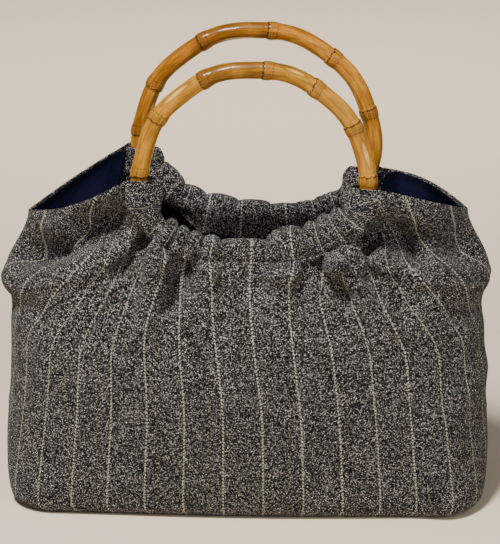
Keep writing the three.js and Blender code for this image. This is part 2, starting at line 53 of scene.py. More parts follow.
# The two rings and how a panel hangs from each. `side` is -1 at the front of the bag, `rise` and `sag` are
# the heights of the open and the hidden arc, and `skew` is how much deeper the hidden one hangs on the
# left. The slips are how far down the cane the casing's ends lie, `hem_dips` how far the left and right
# hems dip, `drawn_back` how far the sleeves' inner edges are drawn back, and `loose_inside` is 1 where the
# casing's inner layer is loose. Angles are in degrees, those of knuckles from the ring's right side over
# its top. A groove and a tone (-1 dark to 1 pale) belong to the cane after the knuckle in the same place. A
# groove has the direction it faces (0 is outwards from the ring, 90 the front) and its depth.
HANDLES = {
    "front": dict(
        side=-1, radius=71.9, rise=72.8, sag=45.5, x=5, z=219.5, lean=1.7, left_slip=0, right_slip=0,
        hem_dips=(2, -3.5), skew=0.12, drawn_back=(0, 0), loose_inside=0,
        knuckles=[5.7, 33.4, 60.9, 86.9, 118.9, 149.2, 178.6],
        grooves=[(66, 0.9), (0, 0), (42, 0.8), (0, 0), (50, 0.8), (0, 0), (0, 0)],
        # The dark tone -0.8, on the stretch over the ring's top, is painted shade; the other tones are the
        # cane's own colour
        tones_and_top_shade=[0.5, 0.35, -0.2, -0.8, 0.3, 0.1, 0],
    ),
    "back": dict(
        side=1, radius=77.2, rise=76.6, sag=47.5, x=4.8, z=226.7, lean=1.7, left_slip=3, right_slip=12,
        hem_dips=(1.5, -2.5), skew=0, drawn_back=(0.03, 0.08), loose_inside=1,
        knuckles=[20.5, 53.4, 86.2, 120.2, 152.4, 177],
        grooves=[(0, 0), (0, 0), (150, 0.8), (0, 0), (140, 0.7), (0, 0)],
        # The dark tone -0.7, on the stretch over the ring's top, is painted shade; the other tones are the
        # cane's own colour
        tones_and_top_shade=[0.5, 0.1, -0.7, -0.3, -0.2, 0],
    ),
}
HANDLE_GAP = 70  # from the front ring's plane to the back one's
LOWER_SQUARENESS = 2.4  # of a ring's hidden arc; 2 would make it an ellipse
HIDDEN_CANE = 8
SHAVED = (0.35, 0.7)  # where the cane is shaved down, as shares of the sag

# Bamboo: rings of a knuckle's swelling, by share of the cane's radius, distance from the scar and half width
KNUCKLE_SWELLS = [(0.14, 3.0, 3.0), (0.07, 0.4, 0.7), (-0.05, -1.3, 0.9), (0.025, 6.4, 0.7)]
KNUCKLE_REACH = 20  # the distance from a scar isn't followed further
BARE_CANE = (0.1, 0.3)  # where knuckles and unevenness fade out in the casing, as shares of the sag
GROOVE_START, GROOVE_END = (1, 18), (24, 6)  # after the knuckle before it, and before the one after it
GROOVE_WIDTH = 0.24  # in radians
CANE_WANDER = [(0.12, 3, 9), (0.1, 2, 23)]  # how far, waves around, and run along the cane
CANE_BOW = (0.5, 9)  # how far its stretches bow out, and how many there are

# Cloth of one panel, and the casing that folds over the ring
PANEL_CLOTH = 390
CASING_CLOTH = 244
CASING_SHARE = CASING_CLOTH / PANEL_CLOTH
SEAM_GAP = 0.4
CASING_CLEARANCE = 0.9
CASING_TURN = (24, 336)  # degrees round the cane that it covers, from below, over the outside
STITCH_DROP = 0.6
STITCH_SPREAD = (1.4, 4.6, 3.2)  # from the ring to the inner layer, and to the outer one amid and aside
STITCH_DRAWN_UP = (0.15, 0.42)  # shares of the casing's half length between those two
STITCH_LOBES = 0.85  # share of the gathers' rise that is left at the stitch line
CASING_FLAT = 0.72  # how flat the casing's front is below the cane; 1 would leave no dip at the stitch line
CUFF = 0.5  # how much looser the casing is where the cane comes out of it
SLEEVE_FROM = (0.62, 0.86)  # shares of the casing's half length over which it becomes a sleeve
SLEEVE_ROOM = 4.5  # spare cloth beside the cane there, on the ring's inner side
SLEEVE_POINT = (8, 0.4)  # how closely that lies to the inner side, and how much narrower the sleeve is there
SLEEVE_SLIDE = 11  # how far the stripes slide towards the middle on the sleeves
SLIDE_FROM = (0.7, 0.85)  # shares of the casing's half length over which they begin to
SLIDE_ROWS = 0.35  # and of its turn round the cane
DRAWN_BACK_FROM = -0.3  # level on the cane, from -1 below it to 1 above it

# Gathers along each casing, left to right: share of its length, how far each lobe stands up from the plain
# casing, and where the crease after it ends
GATHERS = {
    "front": [
        (0.215, 1.2, -0.4), (0.058, 5.0, -0.4), (0.052, 4.4, -0.4), (0.052, 4.0, -0.4), (0.052, 3.4, -0.4),
        (0.10, 2.2, 0.2), (0.11, 8.5, 2.4), (0.06, 7.5, 3.2), (0.07, 8.8, 3.6), (0.075, 7.5, 0.6),
        (0.156, 2.0, 0.0),
    ],
    "back": [
        (0.12, 2.0, 2.0), (0.18, 9.0, 3.6), (0.0925, 5.5, 1.4), (0.10, 4.6, 1.2), (0.0675, 2.8, -0.3),
        (0.06, 0.6, -0.4), (0.08, 0.2, -0.4), (0.10, 1.2, 0.0), (0.20, 1.5, 0.0),
    ],
}
GATHER_ROUND = 0.5  # below 1 the lobes are full, with tight creases between them
GATHER_OUT = 0.85  # share of that by which a lobe stands out to the front
GATHER_IN = 0.3  # and to the inside
GATHER_LEVEL = -0.6  # level on the cane from which the lobes stand up
GATHER_CROWDED = (0.7, 0.95)  # shares of the casing's half length over which the wall below loses them
GATHER_FADE = 34  # and how far below the stitch line they fade
HANG = 12  # how much lower a loose inner layer is stitched, between the legs
HANG_FROM, HANG_TO = (-0.4, -0.14), (0.45, 0.7)  # places along the casing where that begins and ends
HANG_SPREAD = 0.3  # from the ring's plane to the inner layer there
HANG_LAST = 0.85  # share of the fall at the last row above the stitches
APRON = 1.5  # the cloth puffs out this far just below the stitch line
APRON_DROP = (8, 6)  # how far below it that is, and over what half height
APRON_ENDS = (0.8, 1.1)  # shares of the casing's half length over which it ends

# Small puckers between the gathers: their height, how their spacing wanders (how far, over what width), a
# wave and a ripple (height, width), and the distances across the flat cloth over which they begin and end
PUCKER_RISE = 0.6
PUCKER_WANDER = [(3, 13), (1.5, 5.3)]
PUCKER_WAVE, PUCKER_RIPPLE = (0.75, 11.3), (0.3, 5.9)
PUCKER_ROUND = 0.8
PUCKER_LEAST = 0.2  # share of their height in the middle, which is drawn up least
PUCKER_MIDDLE = -8
PUCKER_FROM, PUCKER_TO, PUCKER_END = (28, 50), (62, 84), (70, 95)

# Body sections from the floor up: height, half width, half depth, radius of the upright corner, swell
SECTIONS = np.array([
    (0.75, 147, 52.5, 22, 3.5),
    (7, 155, 57.5, 30, 4.5),
    (36, 158.8, 58, 46, 8),
    (80, 156.2, 57, 54, 11),
    (112, 155.2, 54, 52, 10.5),
    (140, 157.4, 49, 47, 8),
    (158, 157, 43, 41, 4.5),
    (178, 152, 38, 36, 0),
])
TOP_HEIGHT = 178
DRAPE_FROM = (95, 150)  # heights from which the middle and the seams lean towards the top edge
DRAPE_FLARE = 2.4  # above 1 the cloth flares out below the casing
BASE_SEAM_HALF = 104
CORNER_X = 142  # of the mouth's corners
CORNER_Z = (190.5, 194)  # left and right
HEM_ROUND = 2.6

# Swells of the sides: side, height, half height, and how far out
SHOULDERS = [
    (-1, 160, 9, 1.5),
    (-1, 130, 11, -2),
    (1, 165, 10, 4),
    (1, 133, 13, -4),
]
SHOULDER_FROM = 0.5  # share of the panel's half width

# Folds of the front panel seen from the front: height, half width, and the x and z of the line each follows.
# The back panel has the same ones, turned round.
FOLDS = [
    (-13, 12, ((-143, 170), (-122, 177))),
    (-19, 11, ((-104, 185), (-89, 190), (-74, 195))),
    (5, 8, ((-152, 150), (-126, 157), (-109, 164), (-88, 171), (-72, 174))),
    (-11, 4.5, ((-58, 192), (-64, 180), (-80, 166))),
    (5, 9, ((-52, 172), (-59, 150), (-66, 124))),
    (-6, 7, ((-36, 169), (-47, 145))),
    (2, 8, ((-22, 168), (-28, 140))),
    (-21, 10, ((69, 191), (88, 187), (104, 183))),
    (-10, 11, ((120, 179), (144, 171))),
    (5, 7, ((73, 176), (89, 171), (109, 166), (148, 156))),
    (-6, 5, ((48, 170), (55, 159), (64, 150))),
    (5, 7, ((58, 168), (69, 156), (95, 132))),
    (-3.5, 6, ((78, 160), (100, 140))),
    (-3, 9, ((158, 136), (136, 132))),
    (3, 11, ((152, 90), (112, 42))),
    (-3, 8, ((-158, 134), (-128, 132))),
]
# Sharper creases that the settled cloth keeps, in the same columns
CREASES = [
    (-8, 7, ((-146, 166), (-124, 172))),
    (5, 7, ((-144, 181), (-120, 186))),
    (-4, 8, ((-100, 187), (-80, 194))),
    (-5, 3.2, ((-57, 190), (-63, 180), (-74, 169))),
    (-5, 5, ((-37, 166), (-49, 140))),
    (-3, 2.5, ((-45, 172), (-54, 158))),
    (-3, 2.5, ((-28, 166), (-34, 152))),
    (-2.5, 2.5, ((-14, 165), (-18, 150))),
    (-7, 8, ((72, 184), (92, 180), (108, 176))),
    (-3, 3.5, ((49, 169), (56, 158), (66, 148))),
    (-3, 2.5, ((37, 168), (42, 154))),
    (-3, 3, ((62, 178), (78, 166), (98, 158))),
]
FOLD_CLEAR = 5  # the folds die out this far below the top edge
SEAM_CALM = 0.93  # and from this share of the panel's half width
LEG_CALM = (0.85, 0.2, 0.2)  # place along the casing, half width, and how much weaker they are there

# Settling of the cloth above the belly
SETTLE_FROM = 60
SETTLE_COLUMNS = 151
SETTLE_ROWS = 58
SETTLE_STEPS = 90
SETTLE_PASSES = 4
SETTLE_WEIGHT = 0.012
SETTLE_SPEED = 0.9  # share of its speed that the cloth keeps from step to step
# Pairs of points: how many steps apart, and how firmly they resist being drawn apart and pressed together
SETTLE_LINKS = [(1, 1.0, 0.6), (2, 0.0, 0.10), (4, 0.0, 0.05)]
SETTLE_SPARE = (0.012, 0.004)  # spare cloth across and along the columns
SETTLE_FREE = 30  # height over which the cloth comes free
SETTLE_HOLD = (0.25, 0.03)  # how firmly the cloth keeps its first shape, at the belly and at the top
SETTLE_HOLD_FROM = (80, 135)  # heights of those two
DENT_LIMIT = 19  # how far the cloth may sink behind its smooth wall

# Lining
LINING_FLOOR = 2.5
LINING_FLOOR_SHARE = 0.97  # how much of the base it covers
LINING_WALL_FROM = 12
LINING_TOP = (168, 177.6)  # under the casing and in the wings
LINING_STEP = 0.06  # share of the panel's half width between those
LINING_INSET = 9
LINING_HEM_INSET = 2.8
LINING_HEM_FROM = 148  # height from which it closes in on the hem
LINING_LEG_INSET = 15  # behind the sleeves
LINING_LEG_FROM = 132  # height from which it draws back to that
LINING_LEG_END = (CASING_SHARE - 0.01, CASING_SHARE + 0.07)  # and where that ends beside a leg
LINING_LEG_DENT = 0.8  # share of a dent that it keeps clear of there
LINING_HANG = (9, 4)  # rows and columns over which it hangs straight from a dent
LINING_NEAR = 0.02  # step to either side for the direction inwards
LINING_BAND = (5.4, 6)  # width of the strip along the lining's top edge that is drawn darker, over the turned band: where it begins to end and ends

# How finely the pieces are drawn
WING_COLUMNS = 32
CASING_COLUMNS = 250
WALL_ROWS = 98
ROW_SPACING = 0.97  # below 1 the rows are closer towards the top
BASE_ROWS = 7
CASING_ROWS = 24
LINING_WING_COLUMNS = 44
LINING_MIDDLE_COLUMNS = 76
LINING_BASE_ROWS = 10
LINING_WALL_ROWS = 72
RING_SAMPLES = 6001
RING_STEPS = 420
CANE_SIDES = 28
MITRE_LIMIT = 0.5  # corners of the cloth aren't drawn out to more than twice its thickness
SHARP_ANGLE = 60  # degrees from which an edge is drawn sharp

# The pinstripes' course over the cloth, read off the photograph's stripes
STRIPE_PHASE = 12.2  # from the middle of the cloth to the next stripe
SIDE_CROWDING = 14  # extra cloth where the sides turn away
SIDE_AT = 150  # how far that is from the middle
GATHERED_CLOTH = 177  # from the middle of the cloth to the legs, along the stitch line
GATHERED_FROM = (108, 176)  # heights between which the cloth is drawn in to that
MIDDLE_SPREAD = 0.12  # share of the casing on either side of its middle where the columns are further apart
TOP_SHEAR = 12  # the middle of the cloth runs this far to the left below the casing
TOP_SHEAR_FROM = 60

# Patterns: width of the tweed's cloudy patches, the lining's slubs and the unevenness of the board's paint
TWEED_CLOUDS = 18
LINING_SLUBS = 4
BOARD_CLOUDS = 400
DASH_SLANT = 0.7  # rise of a pinstripe's dashes for each step aside
RIB_SLANT = 0.75  # lean of the lining's ribs
FIBRE_RUN, PATCH_RUN = 0.018, 0.05  # change of the bamboo's fibres and patches for each millimetre along it
TONE_SHIFT = 0.13  # of the bamboo's colours, from a middling stretch to a pale one

# Stage in metres: half the board, and each light's place, what it is aimed at, width, power and colour
BOARD_HALF = 6.0
LIGHTS = {
    "key": ((-0.38, -0.74, 1.7), (0, 0, 0.12), 0.4, 60, "#fff8f0"),
    "fill": ((0.95, -1.3, 0.7), (0, 0, 0.12), 1.6, 14, "#fffaf4"),
    "back": ((0.0, 0.8, 1.7), (0, 4, 0.7), 1.6, 72, "#fff6ec"),
}
SKY_COLOUR = "#f3f5fa"
SKY_STRENGTH = 0.15

# Camera in millimetres, where the photograph was taken from
CAMERA_PLACE = (49.926, -1429.704, 601.059)
CAMERA_AIM = (1.690, 0, 149.142)
CAMERA_LENS = 151.55
CAMERA_SENSOR = 36
CAMERA_FAR = 50  # in metres, how far it sees


def linear(hex_colour):
    """A linear colour from an sRGB hex value."""
    parts = [int(hex_colour[i:i + 2], 16) / 255 for i in (1, 3, 5)]
    return tuple(c / 12.92 if c <= 0.04045 else ((c + 0.055) / 1.055) ** 2.4 for c in parts)


def smoothstep(value, low, high):
    """0 up to `low`, 1 from `high` on, and a smooth rise between them."""
    share = np.clip((value - low) / (high - low), 0, 1)
    return share * share * (3 - 2 * share)


def lerp(start, end, share):
    """A value between `start` and `end`."""
    return start + (end - start) * share


def bell(value, middle, width):
    """1 at `middle`, falling off to either side over `width`."""
    return np.exp(-((value - middle) / width) ** 2)


def unit(vectors):
    """Vectors of the same directions, one long."""
    return vectors / np.maximum(1e-9, np.linalg.norm(vectors, axis=-1, keepdims=True))


# Shapes


def section_at(height):
    """Half width, half depth, corner and swell at each height, on a smooth curve through the table."""
    heights, values = SECTIONS[:, 0], SECTIONS[:, 1:]
    last = len(heights) - 1
    rows = np.arange(last + 1)
    above, below = np.minimum(rows + 1, last), np.maximum(rows - 1, 0)
    slopes = (values[above] - values[below]) / (heights[above] - heights[below])[:, None]
    i = np.clip(np.searchsorted(heights, height, side="right") - 1, 0, last - 1)
    span = (heights[i + 1] - heights[i])[:, None]
    k = (height - heights[i])[:, None] / span
    rise = values[i + 1] - values[i]
    start, end = span * slopes[i], span * slopes[i + 1]
    return values[i] + k * (start + k * (3 * rise - 2 * start - end + k * (start + end - 2 * rise)))


def outline(section, across):
    """Points of the sections' front halves: across runs from -1 at the left seam to 1 at the right one."""
    half_width, half_depth, corner, swell = section.T
    flat = half_width - corner
    arc = math.pi / 2 * corner
    length = np.abs(across) * (flat + arc + half_depth - corner)
    turn = np.clip((length - flat) / corner, 0, math.pi / 2)
    x = np.minimum(length, flat) + corner * np.sin(turn)
    y = -half_depth + corner * (1 - np.cos(turn)) + np.maximum(0, length - flat - arc)
    return x * np.sign(across), y - swell * np.cos(math.pi / 2 * np.minimum(1, x / half_width)) ** 2


def ring_point(handle, angle):
    """x and z of a ring's middle line in its own frame."""
    lower = np.sin(angle) < 0
    power = np.where(lower, 2 / LOWER_SQUARENESS, 1)
    x = handle["radius"] * np.sign(np.cos(angle)) * np.abs(np.cos(angle)) ** power
    sag = handle["sag"] * (1 - handle["skew"] * np.cos(angle))
    z = np.where(lower, sag, handle["rise"]) * np.sign(np.sin(angle)) * np.abs(np.sin(angle)) ** power
    return x, z


def cane_radius(handle, z, cane):
    """Half the cane's thickness at heights in the ring's frame."""
    return lerp(cane, HIDDEN_CANE, smoothstep(-z / handle["sag"], *SHAVED)) / 2


def place(handle, x, y, z):
    """Points of a ring's own frame, leaned and set in the bag."""
    lean = math.radians(handle["lean"])
    return np.stack(np.broadcast_arrays(
        x * math.cos(lean) + z * math.sin(lean) + handle["x"],
        y + handle["side"] * HANDLE_GAP / 2,
        z * math.cos(lean) - x * math.sin(lean) + handle["z"],
    ), -1)


def casing_cane(handle, along):
    """The hidden cane at places from -1 at the left leg to 1 at the right one."""
    degrees = lerp(180 + handle["left_slip"], 360 - handle["right_slip"], (along + 1) / 2)
    return ring_point(handle, np.radians(degrees))


def sleeve_share(along):
    """1 at the ends of a casing, where its cloth runs on smoothly into the wings, and 0 along most of it."""
    return smoothstep(np.abs(along), *SLEEVE_FROM)


def casing_radius(handle, along, sizes):
    """From the cane's middle line to the middle of the casing's cloth."""
    z = casing_cane(handle, along)[1]
    return (cane_radius(handle, z, sizes.cane / MM) + CASING_CLEARANCE + sizes.tweed / MM / 2
            + CUFF * sleeve_share(along))


def gather_rise(handle, along):
    """How far the lobes of the gathers stand up: round on top, with tight creases between them."""
    rise = np.zeros_like(along)
    start, before = -1.0, 0.0
    for share, height, after in GATHERS["front" if handle["side"] < 0 else "back"]:
        k = np.clip((along - start) / (2 * share), 0, 1)
        inside = (along >= start) & (along < start + 2 * share)
        crease = lerp(before, after, k)
        rise = np.where(inside, crease + (height - crease) * np.sin(math.pi * k) ** GATHER_ROUND, rise)
        start, before = start + 2 * share, after
    return rise


def puckers(width):
    """Small uneven puckers where the cloth is drawn up, at places across the flat cloth."""
    uneven = width
    for far, span in PUCKER_WANDER:
        uneven = uneven + far * np.sin(width / span)
    aside = smoothstep(np.abs(width - PUCKER_MIDDLE), *PUCKER_FROM)
    drawn_up = lerp(PUCKER_LEAST, 1, aside * (1 - smoothstep(np.abs(width), *PUCKER_TO)))
    high, wide = PUCKER_WAVE
    wave = high * np.abs(np.sin(uneven * math.pi / wide)) ** PUCKER_ROUND
    high, wide = PUCKER_RIPPLE
    wave = wave + high * np.sin(uneven * 2 * math.pi / wide)
    return PUCKER_RISE * drawn_up * wave * (1 - smoothstep(np.abs(width), *PUCKER_END))


def casing_lobes(handle, along):
    """How far the gathers and the puckers between them stand up from the plain casing."""
    return gather_rise(handle, along) + puckers(along * CASING_CLOTH / 2)


def casing_point(handle, along, inwards, outwards):
    """Points beside the cane, `inwards` to the ring's middle and `outwards` from the bag's."""
    x, z = casing_cane(handle, along)
    share_x, share_z = x / handle["radius"], z / handle["sag"]
    power = LOWER_SQUARENESS - 1
    in_x = -np.sign(share_x) * np.abs(share_x) ** power / handle["radius"]
    in_z = -np.sign(share_z) * np.abs(share_z) ** power / handle["sag"]
    length = np.hypot(in_x, in_z)
    return place(
        handle, x + inwards * in_x / length, handle["side"] * outwards, z + inwards * in_z / length,
    )


def stitch_point(handle, along, sizes):
    """The line under the cane where the casing's outer layer is stitched."""
    radius = casing_radius(handle, along, sizes)
    spread = lerp(*STITCH_SPREAD[1:], smoothstep(np.abs(along), *STITCH_DRAWN_UP))
    creased = sizes.tweed / MM / 2 + spread + STITCH_LOBES * casing_lobes(handle, along)
    spread = lerp(creased, radius, sleeve_share(along))
    return casing_point(handle, along, -radius - STITCH_DROP, spread)


def top_edge(handle, across, sizes):
    """Where each column of a panel ends: on the hem beside a handle, on the stitch line under it."""
    along = across / CASING_SHARE
    stitched = stitch_point(handle, np.clip(along, -1, 1), sizes)
    k = np.clip((np.abs(across) - CASING_SHARE) / (1 - CASING_SHARE), 0, 1)
    dip = np.where(across < 0, *handle["hem_dips"]) * 4 * k * (1 - k)
    hem = np.stack([
        lerp(stitched[:, 0], CORNER_X * np.sign(across), k),
        stitched[:, 1] * (1 - k ** HEM_ROUND),
        lerp(stitched[:, 2], np.where(across < 0, *CORNER_Z), k) - dip,
    ], -1)
    return np.where((k > 0)[:, None], hem, stitched)


def drape_at(across, height):
    """How far the wall has gone over from the body's sections to the top edge."""
    wing = smoothstep(np.abs(across), CASING_SHARE, 1)
    start = lerp(*DRAPE_FROM, wing)
    flared = np.clip((height - start) / (TOP_HEIGHT - start), 0, 1) ** DRAPE_FLARE
    return lerp(flared, smoothstep(height, start, TOP_HEIGHT), wing)


def wall_points(handle, across, height, sizes):
    """A panel's smooth wall, before gathers and folds: columns by rows."""
    x, y = outline(section_at(height), across[:, None])
    for side, level, reach, swell in SHOULDERS:
        near = smoothstep(side * across, SHOULDER_FROM, 1)[:, None]
        x = x + side * swell * near * bell(height, level, reach)
    top = top_edge(handle, across, sizes)[:, None, :]
    drape = drape_at(across[:, None], height)
    return np.stack([
        lerp(x, top[..., 0], drape),
        lerp(-handle["side"] * y, top[..., 1], drape),
        height + (top[..., 2] - TOP_HEIGHT) * drape,
    ], -1)


def line_rise(handle, lines, points):
    """How far a wall's points are pushed out by a table of folds."""
    total = np.zeros(points.shape[:2])
    for rise, width, line in lines:
        corners = np.array(line, float) * (-handle["side"], 1)
        away = np.full(points.shape[:2], np.inf)
        for start, end in zip(corners[:-1], corners[1:]):
            off, run = points[..., [0, 2]] - start, end - start
            k = np.clip(off @ run / (run @ run), 0, 1)
            away = np.minimum(away, np.linalg.norm(off - k[..., None] * run, axis=-1))
        total += rise * bell(away, 0, width)
    return total


def fold_calm(across, height):
    """1 where folds are free, and 0 at the side seams and the top edge."""
    beside_seam = smoothstep(np.abs(across), SEAM_CALM, 1)[:, None]
    return (1 - beside_seam) * smoothstep(TOP_HEIGHT - height, 0, FOLD_CLEAR)


def fold_rise(handle, across, height, points):
    """How far the wall is pushed out by the gathers above it and by the folds."""
    drop = TOP_HEIGHT - height
    along = (across / CASING_SHARE)[:, None]
    crowded = 1 - smoothstep(np.abs(along), *GATHER_CROWDED)
    gathers = gather_rise(handle, np.clip(along, -1, 1)) * crowded * np.exp(-drop / GATHER_FADE)
    apron = APRON * bell(drop, *APRON_DROP) * (1 - smoothstep(np.abs(along), *APRON_ENDS))
    at, width, share = LEG_CALM
    folds = line_rise(handle, FOLDS, points) * (1 - share * bell(np.abs(along), at, width))
    return (gathers + apron) * smoothstep(drop, 0, FOLD_CLEAR) + folds * fold_calm(across, height)


def grid_normals(grid):
    """Unit normals of a grid of points, columns by rows."""
    return unit(np.cross(np.gradient(grid, axis=0), np.gradient(grid, axis=1)))


def pull_together(points, loose, first, second, rest, pull, push):
    """Moves pairs of points towards their resting distance."""
    gap = points[second] - points[first]
    length = np.maximum(1e-6, np.linalg.norm(gap, axis=-1))
    error = (length - rest) / length
    move = gap * (np.where(error > 0, pull, push) * error)[..., None]
    total = np.maximum(1e-6, loose[first] + loose[second])[..., None]
    points[first] += move * loose[first][..., None] / total
    points[second] -= move * loose[second][..., None] / total


def settle(points, loose, inner, hold):
    """Lets a panel's cloth sag under its weight: threads keep their lengths, and the cloth resists bending.

    `points` are columns by rows, `loose` is 0 where the cloth is held, and `inner` are points that the cloth
    can't go behind, with the direction outwards from them."""
    links = []
    for axis in (0, 1):
        steps = np.linalg.norm(np.diff(points, axis=axis), axis=-1) * (1 + SETTLE_SPARE[axis])
        whole = np.arange(points.shape[1 - axis])
        for reach, pull, push in SETTLE_LINKS:
            lengths = np.lib.stride_tricks.sliding_window_view(steps, reach, axis).sum(-1)
            starts = np.arange(points.shape[axis] - reach)
            for phase in range(2):
                picked = starts[(starts // reach) % 2 == phase]
                first, second = (
                    np.ix_(at, whole) if axis == 0 else np.ix_(whole, at) for at in (picked, picked + reach)
                )
                links.append((first, second, lengths[first], pull, push))
    limit, outwards = inner
    before, first_shape = points.copy(), points.copy()
    for _ in range(SETTLE_STEPS):
        speed = (points - before) * SETTLE_SPEED
        before = points.copy()
        points = points + (speed + np.array([0, 0, -SETTLE_WEIGHT])) * loose[..., None]
        points = points + (first_shape - points) * (hold * loose)[..., None]
        for _ in range(SETTLE_PASSES):
            for link in links:
                pull_together(points, loose, *link)
        depth = ((points - limit) * outwards).sum(-1)
        points = points - outwards * (np.minimum(0, depth) * (loose > 0))[..., None]
    return points


SETTLED = {}  # the panels' fields, kept for the lining behind them


def settled_wall(name, sizes):
    """How far a panel's cloth moves from its smooth wall when it has settled: columns by rows."""
    if name in SETTLED:
        return SETTLED[name]
    handle = HANDLES[name]
    across = np.linspace(-1, 1, SETTLE_COLUMNS)
    height = np.linspace(SETTLE_FROM, TOP_HEIGHT, SETTLE_ROWS)
    smooth = wall_points(handle, across, height, sizes)
    outwards = grid_normals(smooth) * -handle["side"]
    folded = smooth + outwards * fold_rise(handle, across, height, smooth)[..., None]
    folded[[0, -1]] = smooth[[0, -1]]
    loose = np.ones(folded.shape[:2]) * smoothstep(height, SETTLE_FROM, SETTLE_FROM + SETTLE_FREE)
    hold = lerp(*SETTLE_HOLD, smoothstep(height, *SETTLE_HOLD_FROM))[None, :]
    loose[[0, -1], :] = 0
    loose[:, [0, -1]] = 0
    folded = settle(folded, loose, (smooth - outwards * DENT_LIMIT, outwards), hold)
    creased = line_rise(handle, CREASES, smooth) * fold_calm(across, height)
    SETTLED[name] = folded + outwards * creased[..., None] - smooth
    return SETTLED[name]


def field_at(field, across, height):
    """A settled field at other places, on smooth curves through its points."""
    def weights(places, count):
        at = np.clip(places, 0, 1) * (count - 1)
        i = np.minimum(at.astype(int), count - 2)
        t = at - i
        table = np.zeros((len(places), count))
        cubic = (-0.5 * t ** 3 + t * t - 0.5 * t, 1.5 * t ** 3 - 2.5 * t * t + 1,
                 -1.5 * t ** 3 + 2 * t * t + 0.5 * t, 0.5 * t ** 3 - 0.5 * t * t)
        for k, weight in enumerate(cubic):
            np.add.at(table, (np.arange(len(places)), np.clip(i + k - 1, 0, count - 1)), weight)
        return table
    columns = weights((across + 1) / 2, field.shape[0])
    rows = weights((height - SETTLE_FROM) / (TOP_HEIGHT - SETTLE_FROM), field.shape[1])
    return np.einsum("ac,crx,hr->ahx", columns, field, rows)


def base_points(handle, across, rows):
    """The flat base from the seam along its middle to its edge."""
    x, y = outline(SECTIONS[:1, 1:], across[:, None])
    k = np.linspace(0, 1, rows)[None, :]
    gap = SEAM_GAP / 2
    return np.stack(np.broadcast_arrays(
        lerp(BASE_SEAM_HALF * across[:, None], x, k),
        handle["side"] * lerp(gap, np.maximum(gap, -y), k),
        SECTIONS[0, 0],
    ), -1)


def seam_points(grid):
    """Marks the side columns and the first row of a grid, which lie on the seams."""
    seam = np.zeros(grid.shape[:2], bool)
    seam[[0, -1], :] = True
    seam[:, 0] = True
    return seam


def run_of_cloth(grid):
    """Length of cloth from the start of each column to its points."""
    run = np.cumsum(np.linalg.norm(np.diff(grid, axis=1), axis=-1), axis=1)
    return np.concatenate([np.zeros((len(grid), 1)), run], axis=1)


class Sheet:
    """Points and four-sided faces of a sheet of cloth, with each point's place on the flat cloth."""

    def __init__(self):
        self.points, self.cloth, self.faces, self.seam = [], [], [], []
        self.count = 0

    def add(self, points, cloth, seam=None):
        """Adds a grid of points, and gives their numbers."""
        numbers = self.count + np.arange(points.shape[0] * points.shape[1]).reshape(points.shape[:2])
        self.points.append(points.reshape(-1, 3))
        self.cloth.append(np.stack(np.broadcast_arrays(*cloth), -1).reshape(-1, 2))
        self.seam.append((np.zeros(points.shape[:2], bool) if seam is None else seam).reshape(-1))
        self.count += numbers.size
        return numbers

    def skin(self, numbers, side):
        """Adds the faces of a grid of point numbers, with the cloth's right side outwards."""
        a, b, c, d = numbers[:-1, :-1], numbers[1:, :-1], numbers[1:, 1:], numbers[:-1, 1:]
        corners = (a, b, c, d) if side < 0 else (d, c, b, a)
        self.faces.append(np.stack(corners, -1).reshape(-1, 4))

    def arrays(self):
        return tuple(np.concatenate(part) for part in (self.points, self.cloth, self.faces, self.seam))


def face_areas(points, faces):
    """Normals of four-sided faces, twice as long as the faces' areas."""
    p = points[faces]
    return np.cross(p[:, 2] - p[:, 0], p[:, 3] - p[:, 1])


def thick_cloth(name, sheet, thickness):
    """A closed mesh object of a sheet's cloth, and the area of the sheet in square metres."""
    points, cloth, faces, seam = sheet.arrays()
    areas = face_areas(points, faces)
    per_face = unit(areas)
    normals = np.zeros_like(points)
    for corner in faces.T:
        np.add.at(normals, corner, per_face)
    normals[seam, 1] = 0
    normals = unit(normals)
    facing, uses = np.zeros(len(points)), np.zeros(len(points))
    for corner in faces.T:
        np.add.at(facing, corner, (normals[corner] * per_face).sum(1))
        np.add.at(uses, corner, 1)
    mitred = normals / np.maximum(MITRE_LIMIT, facing / np.maximum(1, uses))[:, None]
    vertices = np.concatenate([points + mitred * thickness / 2, points - mitred * thickness / 2])
    count = len(points)
    edges = np.concatenate([faces[:, [i, (i + 1) % 4]] for i in range(4)])
    forward = edges[:, 0].astype(np.int64) * count + edges[:, 1]
    backward = edges[:, 1].astype(np.int64) * count + edges[:, 0]
    rim = edges[~np.isin(backward, forward)]
    rim_faces = np.stack([rim[:, 1], rim[:, 0], rim[:, 0] + count, rim[:, 1] + count], 1)
    quads = np.concatenate([faces, faces[:, ::-1] + count, rim_faces])
    area = np.linalg.norm(areas, axis=1).sum() / 2 * MM * MM
    return mesh_object(name, vertices * MM, quads, np.concatenate([cloth, cloth]) * MM), float(area)


def mesh_object(name, vertices, faces, uv=None):
    """A smooth-shaded object in the scene, riding on the bag's body."""
    mesh = bpy.data.meshes.new(name)
    mesh.from_pydata(vertices.tolist(), [], faces.tolist())
    if uv is not None:
        corners = np.empty(len(mesh.loops), np.int32)
        mesh.loops.foreach_get("vertex_index", corners)
        mesh.uv_layers.new(name="cloth").data.foreach_set("uv", uv[corners].astype(np.float32).ravel())
    mesh.shade_smooth()
    mesh.set_sharp_from_angle(angle=math.radians(SHARP_ANGLE))
    mesh.update()
    piece = bpy.data.objects.new(name, mesh)
    bpy.context.scene.collection.objects.link(piece)
    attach(piece, BODY)
    return piece


